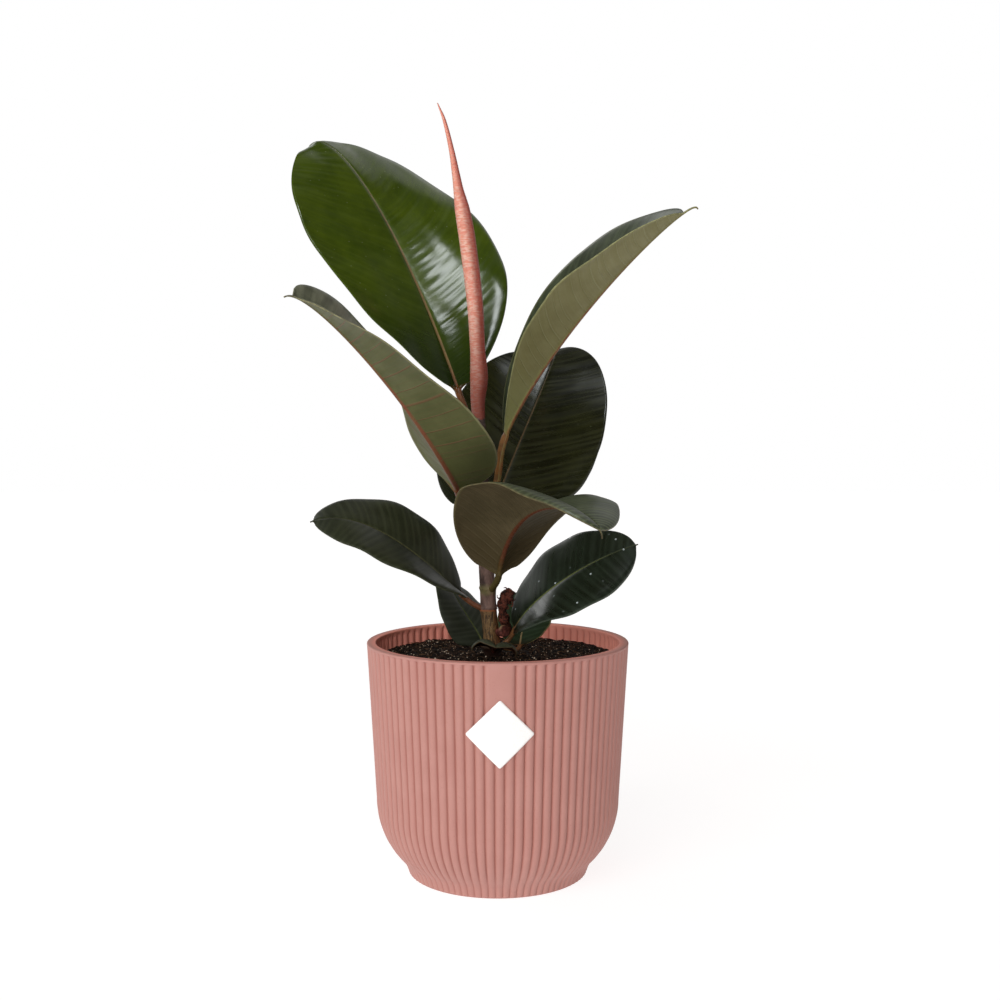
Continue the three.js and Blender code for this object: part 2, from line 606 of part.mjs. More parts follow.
function bladeRing(leaf, centre, along, share) {
  const frame = midribFrame(leaf, along, mix(leaf.roll[0], leaf.roll[1], share));
  const span = halfWidth(leaf, share);
  const curlSpan = leaf.evenCurl ? leaf.width / 2 : span;
  const blade = smooth(clamp(share / FLARE_SHARE)); // 0 on the petiole, 1 on the blade
  const folding = smooth(clamp(share / FOLD_SHARE));
  const ribHalf = min(span * MIDRIB_LIMIT, leaf.stalk * MIDRIB_SHARE * mix(1, MIDRIB_TIP, share));
  const ribDepth = MIDRIB_DEPTH * (leaf.stalk / USUAL_STALK) * mix(1, MIDRIB_TIP, share);
  const waveHere = WAVE * smooth(clamp(4 * share * (1 - share)));
  const count = ACROSS.length;
  const ring = [];
  for (const face of [1, -1]) {
    for (let k = 0; k < count; k += 1) {
      const place = ACROSS[face > 0 ? k : count - 1 - k];
      const distance = place.side * (ribHalf + place.lane * (span - ribHalf));
      const outness = abs(distance) / span;
      const thickness = mix(BLADE_THICKNESS, MARGIN_THICKNESS, outness);
      const ridge = face < 0 && place.side === 0 ? ribDepth : 0;
      const wave = waveHere * sin(2 * PI * WAVES * share + place.side) * outness ** 2;
      const flatHeight = (face * thickness) / 2 - ridge + wave;
      const turn = PI * ((k + 0.5) / count);
      const roundDistance = -leaf.stalk * cos(turn) * face;
      const roundHeight = leaf.stalk * sin(turn) * face;
      const fold = place.side < 0 ? leaf.foldLeft : leaf.foldRight;
      const foldHere = place.side === 0 ? 0 : mix(fold[0], fold[1], share) * folding;
      const out = mix(roundDistance, distance, blade);
      const height = mix(roundHeight, flatHeight, blade);
      ring.push(acrossBlade(centre, frame, out, height, foldHere, leaf.curl * folding, curlSpan));
    }
  }
  return ring;
}

// Both faces are split alike: the underside's quads mirror those of the upper side.
function bladeSplit(j) {
  const count = ACROSS.length;
  const upper = j < count - 1;
  const lane = upper ? j : 2 * count - 2 - j;
  const leftHalf = lane < (count - 1) / 2;
  return upper ? !leftHalf : leftHalf;
}

function leafGeometry(leaf) {
  const [knee, handleA, handleB, tip] = [leaf.knee, leaf.handleA, leaf.handleB, leaf.tip].map(
    (p) => new THREE.Vector3(...p),
  );
  const midrib = new THREE.CubicBezierCurve3(knee, handleA, handleB, tip);
  const bladeStart = midrib.getTangentAt(0);
  const foot = stemCentre(leaf.attach);
  const outward = knee.clone().sub(foot).setZ(0).normalize();
  const rise = radians(leaf.rise);
  const leaving = outward.clone().multiplyScalar(cos(rise)).setZ(sin(rise));
  const clear = stemRadius(leaf.attach) + NODE_SWELL / 4 + GAP + leaf.stalk * sin(rise);
  const root = foot.addScaledVector(outward, clear);
  const pull = root.distanceTo(knee) * PETIOLE_PULL;
  const stalk = new THREE.CubicBezierCurve3(
    root,
    root.clone().addScaledVector(leaving, pull),
    knee.clone().addScaledVector(bladeStart, -pull),
    knee,
  );
  const rings = [];
  for (let i = 0; i < STALK_RINGS; i += 1) {
    const t = i / STALK_RINGS;
    rings.push(bladeRing(leaf, stalk.getPointAt(t), stalk.getTangentAt(t), 0));
  }
  for (let i = 0; i <= BLADE_RINGS; i += 1) {
    // rings lie closer together at both ends of the blade, where its outline turns fastest
    const share = (1 - cos(PI * (i / BLADE_RINGS))) / 2;
    rings.push(bladeRing(leaf, midrib.getPointAt(share), midrib.getTangentAt(share), share));
  }
  return closedFromRings(rings, bladeSplit);
}

// ---- the plant in its pot ----

function piece(name, geometry, colour, roughness) {
  geometry.computeVertexNormals();
  const material = new THREE.MeshStandardMaterial({ color: colour, roughness, flatShading: true });
  const mesh = new THREE.Mesh(geometry, material);
  mesh.name = name;
  return mesh;
}

const plant = new THREE.Group();
plant.add(piece("pot", pot(), COLOUR.pot, ROUGHNESS.pot));
plant.add(piece("label", label(), COLOUR.label, ROUGHNESS.label));
plant.add(piece("soil", soil(), COLOUR.soil, ROUGHNESS.soil));
plant.add(piece("stem", stem(), COLOUR.stem, ROUGHNESS.stem));
plant.add(piece("bud_sheath", sheath(), COLOUR.sheath, ROUGHNESS.sheath));
plant.add(piece("dried_shoot", driedShoot(), COLOUR.dried, ROUGHNESS.dried));
for (const [name, leaf] of Object.entries(LEAVES)) {
  plant.add(piece(name, leafGeometry(leaf), leaf.colour, ROUGHNESS.leaf));
}

export default plant;
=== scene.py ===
import random
from math import atan2, copysign, cos, degrees, exp, hypot, pi, radians, sin, sqrt

import bpy
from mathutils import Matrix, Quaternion, Vector, noise


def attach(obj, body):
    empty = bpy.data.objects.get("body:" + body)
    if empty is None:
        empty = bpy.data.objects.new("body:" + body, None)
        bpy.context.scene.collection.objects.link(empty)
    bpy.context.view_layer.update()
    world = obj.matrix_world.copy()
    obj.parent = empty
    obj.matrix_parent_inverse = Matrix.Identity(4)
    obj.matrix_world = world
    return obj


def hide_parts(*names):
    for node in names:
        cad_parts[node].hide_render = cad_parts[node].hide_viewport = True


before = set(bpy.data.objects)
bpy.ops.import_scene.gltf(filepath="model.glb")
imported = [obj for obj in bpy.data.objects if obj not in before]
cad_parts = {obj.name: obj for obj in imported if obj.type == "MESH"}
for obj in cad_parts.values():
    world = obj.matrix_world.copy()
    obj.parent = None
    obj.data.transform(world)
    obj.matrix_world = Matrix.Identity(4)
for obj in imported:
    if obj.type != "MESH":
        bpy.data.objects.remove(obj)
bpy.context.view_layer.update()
scene = bpy.context.scene
mm = 0.001


# small helpers for numbers; shapes are in millimetres, what the shaders, floor and lights use is in metres

def mix(a, b, t):
    return a + (b - a) * t


def clamp(t):
    return min(1.0, max(0.0, t))


def smooth(t):
    t = clamp(t)
    return t * t * (3 - 2 * t)


def bump(x, middle, reach):
    return exp(-((x - middle) / reach) ** 2)


def waver(x, y, z):
    return noise.noise(Vector((x, y, z)))


def easedRow(rows, z):
    # the values of a table at a height, on a smooth curve through its rows; each row starts with its height
    k = 0
    while k < len(rows) - 2 and z > rows[k + 1][0]:
        k += 1
    a, b = rows[k], rows[k + 1]
    before = rows[k - 1] if k else a
    after = rows[k + 2] if k + 2 < len(rows) else b
    span = b[0] - a[0]
    t = clamp((z - a[0]) / span)
    values = []
    for column in range(1, len(a)):
        slopeA = (b[column] - before[column]) / (b[0] - before[0]) * span
        slopeB = (after[column] - a[column]) / (after[0] - a[0]) * span
        values.append((2 * t ** 3 - 3 * t ** 2 + 1) * a[column] + (t ** 3 - 2 * t ** 2 + t) * slopeA
                      + (3 * t ** 2 - 2 * t ** 3) * b[column] + (t ** 3 - t ** 2) * slopeB)
    return values


def tone(*screen):
    # a colour given by its screen values, as the linear values that a shader wants
    shares = [value / 255 for value in screen]
    return (*[s / 12.92 if s <= 0.04045 else ((s + 0.055) / 1.055) ** 2.4 for s in shares], 1.0)


# helpers for meshes

def meshPiece(name, points, faces, materials, uvSets=None, faceMaterials=None):
    mesh = bpy.data.meshes.new(name)
    mesh.from_pydata(points, [], faces)
    mesh.validate(clean_customdata=False)
    for setName, places in (uvSets or {}).items():
        layer = mesh.uv_layers.new(name=setName)
        for loop in mesh.loops:
            layer.data[loop.index].uv = places[loop.vertex_index]
    for material in materials:
        mesh.materials.append(material)
    if faceMaterials:
        mesh.polygons.foreach_set("material_index", faceMaterials)
    mesh.polygons.foreach_set("use_smooth", [True] * len(mesh.polygons))
    mesh.update()
    piece = bpy.data.objects.new(name, mesh)
    scene.collection.objects.link(piece)
    return piece


def finishPiece(piece, slotName, *nodes):
    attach(piece, "root")
    if nodes:
        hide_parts(*nodes)


def circle(sides):
    # the turn of each point of a ring, with its cosine and sine
    turns = [2 * pi * j / sides for j in range(sides)]
    return [(turn, cos(turn), sin(turn)) for turn in turns]


def loftFaces(ringCount, ringSize, closed=True, first=0):
    faces = []
    around = ringSize if closed else ringSize - 1
    for i in range(ringCount - 1):
        for j in range(around):
            a = first + i * ringSize + j
            b = first + i * ringSize + (j + 1) % ringSize
            faces.append((a, b, b + ringSize, a + ringSize))
    return faces


def capFaces(points, ringStart, ringSize, flip):
    # fans a ring to its middle, which is added to the points
    points.append(sum((points[ringStart + j] for j in range(ringSize)), Vector()) / ringSize)
    top = len(points) - 1
    faces = []
    for j in range(ringSize):
        a, b = ringStart + j, ringStart + (j + 1) % ringSize
        faces.append((b, a, top) if flip else (a, b, top))
    return faces


def tubeFaces(points, ringCount, ringSize):
    # a loft with both ends closed
    faces = loftFaces(ringCount, ringSize)
    faces += capFaces(points, 0, ringSize, True)
    faces += capFaces(points, (ringCount - 1) * ringSize, ringSize, False)
    return faces


def sheetFaces(strips, lanes, lower, upper, corner=0):
    # two layers of strips by lanes, joined all round their border; corner says which way the faces are split
    faces = [(a, d, c, b) for a, b, c, d in loftFaces(strips + 1, lanes, False, upper)]
    border = list(range(lanes - 1))
    border += [i * lanes + lanes - 1 for i in range(strips)]
    border += [strips * lanes + lanes - 1 - j for j in range(lanes - 1)]
    border += [(strips - i) * lanes for i in range(strips)]
    for k, a in enumerate(border):
        b = border[(k + 1) % len(border)]
        faces.append((lower + a, upper + a, upper + b, lower + b))
    return loftFaces(strips + 1, lanes, False, lower) + [face[corner:] + face[:corner] for face in faces]


# helpers for node materials

def newFinish(name, **sockets):
    material = bpy.data.materials.new(name)
    material.use_nodes = True
    shader = material.node_tree.nodes["Principled BSDF"]
    for key, value in sockets.items():
        shader.inputs[key.replace("_", " ")].default_value = value
    return material, material.node_tree


def wired(material, **sockets):
    # joins what the nodes give to the sockets of the material's shader
    tree = material.node_tree
    for key, value in sockets.items():
        tree.links.new(value, tree.nodes["Principled BSDF"].inputs[key.replace("_", " ")])
    return material


def add(tree, kind, sockets=None, **settings):
    node = tree.nodes.new("ShaderNode" + kind)
    for key, value in settings.items():
        setattr(node, key, value)
    for key, value in (sockets or {}).items():
        if isinstance(value, bpy.types.NodeSocket):
            tree.links.new(value, node.inputs[key])
        else:
            node.inputs[key].default_value = value
    return node


def calc(tree, operation, a, b=0.0, c=0.0):
    return add(tree, "Math", {0: a, 1: b, 2: c}, operation=operation).outputs[0]


def remap(tree, value, low, high, toLow=0.0, toHigh=1.0, style="SMOOTHSTEP"):
    sockets = {"Value": value, "From Min": low, "From Max": high, "To Min": toLow, "To Max": toHigh}
    return add(tree, "MapRange", sockets, interpolation_type=style).outputs[0]


def blend(tree, factor, a, b):
    return add(tree, "Mix", {0: factor, 6: a, 7: b}, data_type="RGBA").outputs[2]


def painted(tree, colour, *coats):
    # lays coats on a colour in turn: what each follows, from where to where, how strong at both, its tone
    for value, low, high, *shares, coat in coats:
        colour = blend(tree, remap(tree, value, low, high, *shares), colour, coat)
    return colour


def cloud(tree, vector, scale, detail=3.0, roughness=0.5, distortion=0.0):
    sockets = {"Vector": vector, "Scale": scale, "Detail": detail}
    return add(tree, "TexNoise", {**sockets, "Roughness": roughness, "Distortion": distortion}).outputs[0]


def stretched(tree, vector, x, y, z):
    return add(tree, "Mapping", {"Vector": vector, "Scale": (x, y, z)}, vector_type="POINT").outputs[0]


def relief(tree, *layers):
    # bumps on top of each other: height, strength and distance of each
    normal = None
    for height, strength, distance in layers:
        sockets = {"Height": height, "Strength": strength, "Distance": distance}
        if normal is not None:
            sockets["Normal"] = normal
        normal = add(tree, "Bump", sockets).outputs[0]
    return normal


def objectPlace(tree):
    return add(tree, "TexCoord").outputs["Object"]


def uvPlace(tree, uvSet):
    return add(tree, "UVMap", uv_map=uvSet).outputs[0]


def axes(tree, vector):
    return add(tree, "SeparateXYZ", {0: vector}).outputs


# the pot

pot = {
    "height": 123.0, "rimRadius": 69.2, "rimBand": 4.9, "rimRound": 0.7, "plainRim": 0.9,
    "waistHeight": 40.0, "waistRadius": 64.4, "bellyRadius": 45.0, "bellyEnd": 46.0,
    "footTop": 5.5, "footTopRadius": 49.2, "footEdgeRadius": 47.5, "footGroove": 0.6,
    "ribs": 84, "panelRibs": 3, "panelBottom": 87.0, "panelFade": 3.0, "front": -89.0,
    "grooveDepth": 0.25, "grooveShare": 0.12, "grooveFade": 0.9, "crown": 1.0,
    "fluteBottom": 108.0, "innerFade": 3.4, "wall": 3.2, "floor": 4.0, "floorRadius": 42.0,
    # where a rib has its corners, as shares of its width from the middle of a groove
    "corners": (0.02, 0.045, 0.075, 0.11, 0.16, 0.23, 0.31, 0.4),
    # the groove tone darkens random specks and, as painted shade, the grooves; the inner tone is painted
    # light on the inner wall
    "colour": tone(177, 127, 118), "speckAndGrooveShade": tone(152, 90, 76), "paleColour": tone(181, 132, 123),
    "innerPaintedLight": tone(226, 146, 130), "grooveShadeShare": 0.55,
}


def wallRadius(z):
    if z >= pot["waistHeight"]:
        share = (z - pot["waistHeight"]) / (pot["height"] - pot["waistHeight"])
        return mix(pot["waistRadius"], pot["rimRadius"], share)
    drop = pot["waistHeight"] - z
    return pot["waistRadius"] - pot["bellyRadius"] + sqrt(pot["bellyRadius"] ** 2 - drop ** 2)


def innerWall(z):
    share = clamp((z - pot["waistHeight"]) / (pot["height"] - pot["waistHeight"]))
    return wallRadius(z) - mix(pot["wall"], pot["rimBand"], share)


def potFinish():
    material, tree = newFinish("pinkPlastic", Specular_IOR_Level=0.2)
    place = objectPlace(tree)
    groove, inside = axes(tree, uvPlace(tree, "groove"))[:2]
    mottle = cloud(tree, place, 55, 5, 0.6)
    grain = cloud(tree, place, 900, 2, 0.6)
    base = painted(tree, pot["colour"], (mottle, 0.35, 0.7, pot["paleColour"]),
                   (grain, 0.62, 0.75, 0.0, 0.2, pot["speckAndGrooveShade"]))
    # painted light: the inner wall is coloured lighter than the same plastic outside
    base = blend(tree, inside, base, pot["innerPaintedLight"])
    # painted shade in the grooves, darker the deeper they are
    colour = blend(tree, calc(tree, "MULTIPLY", groove, pot["grooveShadeShare"]), base, pot["speckAndGrooveShade"])
    return wired(material, Base_Color=colour, Roughness=remap(tree, mottle, 0.3, 0.7, 0.46, 0.6),
                 Normal=relief(tree, (grain, 0.12, 0.0002), (mottle, 0.1, 0.0006)))


def wallRows(low, high, steps, strengths, bareness):
    rows = []
    for k in range(1, steps + 1):
        z, eased = mix(low, high, k / steps), smooth(k / steps)
        rows.append((wallRadius(z), z, mix(*strengths, eased), mix(*bareness, eased)))
    return rows


def potRows():
    # radius, height, groove strength (negative inside) and how far the front panel is bare, ring by ring
    edge, foot, waist = pot["footEdgeRadius"], pot["footGroove"], pot["waistHeight"]
    rows = [(edge - 0.9, 0.0, 0, 0), (edge, 0.5, foot * 0.6, 0)]
    for t in (0, 0.5, 1):
        rows.append((mix(edge + 0.2, pot["footTopRadius"], t), mix(1.2, pot["footTop"] - 0.4, t), foot, 0))
    for k in range(15):
        slope = radians(mix(pot["bellyEnd"], 0, k / 14))
        radius = pot["waistRadius"] - pot["bellyRadius"] * (1 - cos(slope))
        rows.append((radius, waist - pot["bellyRadius"] * sin(slope), mix(foot, 1, smooth(k / 4)), 0))
    top, panel = pot["height"] - pot["plainRim"], pot["panelBottom"]
    rows += wallRows(waist, panel, 8, (1, 1), (0, 0))
    rows += wallRows(panel, panel + pot["panelFade"], 4, (1, 1), (0, 1))
    rows += wallRows(panel + pot["panelFade"], top - pot["grooveFade"], 5, (1, 1), (1, 1))
    rows += wallRows(top - pot["grooveFade"], top, 5, (1, 0), (1, 1))
    inner, bend = pot["rimRadius"] - pot["rimBand"], pot["rimRound"]
    for centre, start in ((pot["rimRadius"] - bend, 0), (inner + bend, 90)):
        for k in range(7):
            turn = radians(start + 90 * k / 6)
            rows.append((centre + bend * cos(turn), pot["height"] - bend + bend * sin(turn), 0, 0))
    for k in range(1, 5):
        z = mix(pot["height"] - bend, pot["height"] - pot["innerFade"], k / 4)
        rows.append((innerWall(z), z, -smooth(k / 4), 0))
    rows += [(innerWall(z), z, -1, 0) for z in (115.0, pot["fluteBottom"] + 2)]
    rows += [(innerWall(z), z, 0, 0) for z in (pot["fluteBottom"], waist, waist / 2)]
    return rows + [(pot["floorRadius"], pot["floor"], 0, 0)]


def potColumns():
    # angle, how deep in a groove, how high on a rib and whether the bare panel has it, round the pot
    ribs = pot["ribs"]
    shares = sorted([0.0, 0.5] + list(pot["corners"]) + [1 - s for s in pot["corners"]])
    columns = []
    for rib in range(ribs):
        for share in shares:
            groove = rib if share < 0.5 else rib + 1
            fromFront = abs((groove - 0.5 + ribs / 2) % ribs - ribs / 2)
            bare = 1.0 if fromFront < pot["panelRibs"] / 2 - 0.1 else 0.0
            off = min(share, 1 - share)
            angle = radians(pot["front"]) + (rib - 0.5 + share) * 2 * pi / ribs
            columns.append((angle, bump(off, 0, pot["grooveShare"]), 1 - (1 - 2 * off) ** 2, bare))
    return columns


def makePot():
    rows, columns = potRows(), potColumns()
    points, grooveShadeAndInnerLight = [], []
    for radius, z, strength, panel in rows:
        beyondRim = pot["rimRadius"] - pot["rimBand"] - radius
        inside = clamp((beyondRim + 1.5) / 0.8) if z > pot["fluteBottom"] else 0
        outward = 1 if strength >= 0 else -1
        for angle, cut, crown, bare in columns:
            here = strength * (1 - bare * panel)
            reach = radius - here * cut * pot["grooveDepth"]
            reach -= abs(here) * outward * (1 - crown) * pot["crown"]
            points.append(Vector((reach * cos(angle), reach * sin(angle), z)) * mm)
            # per point: how deep in a groove, for the painted groove shade, and whether on the inner wall,
            # for its painted light
            grooveShadeAndInnerLight.append((clamp(abs(here) * cut) ** 1.5, inside))
    faces = tubeFaces(points, len(rows), len(columns))
    grooveShadeAndInnerLight += [(0, 0), (0, 0)]
    piece = meshPiece("fluted_pot", points, faces, [potFinish()], {"groove": grooveShadeAndInnerLight})
    finishPiece(piece, "pot", "pot")


makePot()
print("pot made")


# the blank label on its front

label = {
    "diagonal": 34.2, "height": 88.0, "thickness": 0.3, "lift": 0.32, "corner": 0.9, "cells": 28,
    "edgeDrop": 0.12, "white": tone(250, 249, 247), "dull": tone(240, 238, 235),
}


def labelFinish():
    material, tree = newFinish("labelPaper", Roughness=0.42, Coat_Weight=0.15, Coat_Roughness=0.3)
    fibre = cloud(tree, objectPlace(tree), 1500, 4, 0.7)
    colour = painted(tree, label["white"], (fibre, 0.3, 0.7, label["dull"]))
    return wired(material, Base_Color=colour, Normal=relief(tree, (fibre, 0.08, 0.0001)))


def roundedCorner(a, b, core):
    # pulls a point beyond the corner circle back onto it
    overA, overB = abs(a) - core, abs(b) - core
    if overA <= 0 or overB <= 0:
        return a, b
    pull = max(overA, overB) / hypot(overA, overB)
    return copysign(core + overA * pull, a), copysign(core + overB * pull, b)


def makeLabel():
    n = label["cells"]
    side = label["diagonal"] / sqrt(2)
    points = []
    for lift in (label["lift"], label["lift"] + label["thickness"]):
        for i in range(n + 1):
            for j in range(n + 1):
                a, b = roundedCorner(side * (i / n - 0.5), side * (j / n - 0.5), side / 2 - label["corner"])
                z = label["height"] + (a + b) / sqrt(2)
                onEdge = lift > label["lift"] and (i in (0, n) or j in (0, n))
                radius = wallRadius(z) + lift - (label["edgeDrop"] if onEdge else 0)
                angle = radians(pot["front"]) + (a - b) / sqrt(2) / radius
                points.append(Vector((radius * cos(angle), radius * sin(angle), z)) * mm)
    faces = sheetFaces(n, n + 1, 0, (n + 1) ** 2)
    finishPiece(meshPiece("blank_label", points, faces, [labelFinish()]), "label", "label")


makeLabel()
print("label made")


# the stem and the leaves that it carries

stem = {
    # height and sideways place
    "path": ((77.7, -2.6), (118, -3), (142, -4.9), (180, -6.9), (240.5, -10.2)),
    "rootRadius": 4.3, "topRadius": 3.5, "soilLevel": 114.4,
    "scar": 0.45, "collar": 0.9, "stubRadius": 3.1, "stubRoot": (-2, 0.2, 126.6), "stubEnd": (4, -6, 129),
    "tan": tone(112, 86, 54), "olive": tone(52, 38, 24), "brown": tone(116, 90, 80),
    "dark": tone(50, 36, 31), "green": tone(112, 106, 58), "orange": tone(142, 82, 44),
    "scarTone": tone(150, 138, 104), "shaded": tone(44, 32, 20), "soilLineShade": tone(32, 19, 14),
    "worn": tone(98, 80, 70),
    # where the shader changes bark, in metres up: the old bark's end, the ring on it, the green band above
    "barkEnd": (0.1385, 0.1398), "ringLine": 0.1392,
    "greenFrom": (0.1462, 0.1492), "greenTo": (0.151, 0.1545),
    # the healed face of the stub, and the pale lip round it, shown on its upper side only as a painted
    # highlight
    "cut": (tone(104, 56, 48), tone(62, 30, 25), tone(46, 22, 18)),
    "lip": (tone(138, 112, 82), tone(96, 74, 50)),
}

leafShape = {
    "thickness": 0.9, "margin": 0.55, "fullStalk": 1.9, "fullWidth": 60, "bury": 0.8,
    "midribDepth": 0.8, "midribShare": 0.8, "midribTip": 0.3, "channel": 0.35,
    "dripHalf": 0.7, "neckShare": 0.05, "flareShare": 0.02, "foldShare": 0.015,
    "wave": 0.7, "waves": 3.5, "rollFrom": 0.8,
    "ringStep": 1.0, "laneStep": 1.7, "endPacking": 0.45, "stalkStep": 1.6, "stalkPull": 0.36,
}

# what a leaf has where its own values don't say otherwise: rollBack bends the left and right margins back
# down to rollEnd of its length, billow is a slow swell, and calm damps the ripples of the left half
plainLeaf = {"rollBack": (0.7, 0.7), "rollEnd": 0.88, "billow": 0.4, "calm": 1, "evenCurl": False}

# knee, handleA, handleB and tip bend the midrib; roll and the folds run from base to tip, in degrees
leaves = {
    "leaf_top_left": {
        "knee": (-21, 8, 255), "handleA": (-61, 64, 365), "handleB": (-94, 46, 405), "tip": (-107, 63, 395),
        "face": (0.35, -0.8, 0.45), "roll": (-6, 26), "foldRight": (28, -11), "foldLeft": (29, -10),
        "curl": -1, "width": 122, "widest": 1.29, "bluntBase": 1.86, "bluntTip": 1.98, "drip": 0.03,
        "rollBack": (0.1, 1.4), "billow": 1.0, "calm": 0.3, "attach": 236, "rise": 50, "stalk": 1.9,
        "look": "bright", "slot": "leaf_green"},
    "leaf_left": {
        "knee": (-21, -8, 203), "handleA": (-39, -82, 249), "handleB": (-92, -62, 305),
        "tip": (-98, -84, 296), "face": (0.3, 0.6, 0.7), "roll": (-1, -57), "foldRight": (28, 25),
        "foldLeft": (28, 23), "curl": -4, "width": 66, "widest": 0.62, "bluntBase": 1.5, "bluntTip": 2.23,
        "drip": 0.045, "attach": 181, "rise": 40, "stalk": 2, "look": "left", "slot": "leaf_olive"},
    "leaf_right": {
        "knee": (4, -4, 231), "handleA": (28, 4, 286), "handleB": (90, -80, 345.5), "tip": (94.4, -67, 339),
        "face": (-0.5, 0.6, 0.6), "roll": (58, 29), "foldRight": (68, 11), "foldLeft": (66, 10), "curl": 9,
        "width": 66, "widest": 1.3, "bluntBase": 1.5, "bluntTip": 1.92, "drip": 0.055, "attach": 197,
        "rise": 50, "stalk": 1.9, "look": "right", "slot": "leaf_olive"},
    "leaf_back_right": {
        "knee": (-1, 10, 193), "handleA": (1, 24, 207), "handleB": (36, 33, 278.7), "tip": (32, 67, 279.7),
        "face": (-0.2, -0.8, 0.5), "roll": (-8, 10), "foldRight": (6, 5), "foldLeft": (5, 6), "curl": -3,
        "width": 91, "widest": 0.7, "bluntBase": 2.2, "bluntTip": 1.9, "drip": 0.02, "rollBack": (0.5, 3.0),
        "rollEnd": 0.3, "attach": 187, "rise": 20, "stalk": 1.9, "look": "back", "slot": "leaf_dark"},
    "leaf_front": {
        "knee": (0.6, -10.5, 159), "handleA": (10, -28, 216), "handleB": (50, -106, 196),
        "tip": (47, -105, 186), "face": (0.1, 0.5, 0.8), "roll": (21, 12), "foldRight": (58, 19),
        "foldLeft": (42, 20), "curl": -37, "width": 75, "widest": 0.82, "bluntBase": 1.85, "bluntTip": 1.65,
        "drip": 0.04, "attach": 150, "rise": 40, "stalk": 1.8, "look": "front", "slot": "leaf_olive"},
    "leaf_lower_left": {
        "knee": (-19, -6, 148), "handleA": (-40, -28, 171), "handleB": (-68, -28, 197),
        "tip": (-95, -29, 188), "face": (0.2, -0.5, 0.8), "roll": (5, 0), "foldRight": (25, -3),
        "foldLeft": (26, -3), "curl": -3, "width": 54, "widest": 0.94, "bluntBase": 1.8, "bluntTip": 1.82,
        "drip": 0.018, "attach": 140, "rise": 20, "stalk": 1.4, "look": "low", "slot": "leaf_dark"},
    "leaf_lower_right": {
        "knee": (9, -2, 129), "handleA": (17, -11, 148), "handleB": (48, -22, 169), "tip": (72, -22, 176),
        "face": (-0.2, -0.6, 0.7), "roll": (-20, 17), "foldRight": (20, -9), "foldLeft": (18, -7),
        "curl": -4, "width": 50, "widest": 0.93, "bluntBase": 1.85, "bluntTip": 1.9, "drip": 0.018,
        "rollBack": (0.5, 1.5), "attach": 120, "rise": 10, "stalk": 1.3, "look": "blue",
        "slot": "leaf_dark"},
    "leaf_low_back_left": {
        "knee": (-8, 7, 119), "handleA": (-9, 15, 125), "handleB": (-23, 12, 140), "tip": (-31, 18, 161),
        "face": (0.1, -0.9, 0.4), "roll": (5, 57), "foldRight": (2, -3), "foldLeft": (3, 2), "curl": -16,
        "width": 30, "widest": 0.73, "bluntBase": 1.9, "bluntTip": 2, "drip": 0.03, "attach": 118.5,
        "rise": 15, "stalk": 1.2, "look": "blueBack", "slot": "leaf_dark"},
    "leaf_low_back_right": {
        "knee": (12, 7, 119), "handleA": (13, 11, 128), "handleB": (16, 12, 138), "tip": (23, 19, 146),
        "face": (-0.1, -0.9, 0.4), "roll": (-19, -7), "foldRight": (13, 6), "foldLeft": (11, 5), "curl": 4,
        "width": 31, "widest": 0.92, "bluntBase": 1.9, "bluntTip": 2, "drip": 0.03, "attach": 118.5,
        "rise": 10, "stalk": 1.2, "look": "fresh", "slot": "leaf_dark"},
    "leaf_low_front": {
        "knee": (-2, -7.5, 118.4), "handleA": (-2, -11, 121.6), "handleB": (-1, -17, 123.8),
        "tip": (-1, -23.5, 122.6), "face": (0, -0.2, 1), "roll": (0, 0), "foldRight": (56, 62),
        "foldLeft": (38, 42), "curl": -135, "width": 32, "widest": 1.25, "bluntBase": 2.2, "bluntTip": 3.8,
        "drip": 0.02, "evenCurl": True, "attach": 118.5, "rise": 10, "stalk": 1.1, "look": "curled",
        "slot": "leaf_dark"},
}
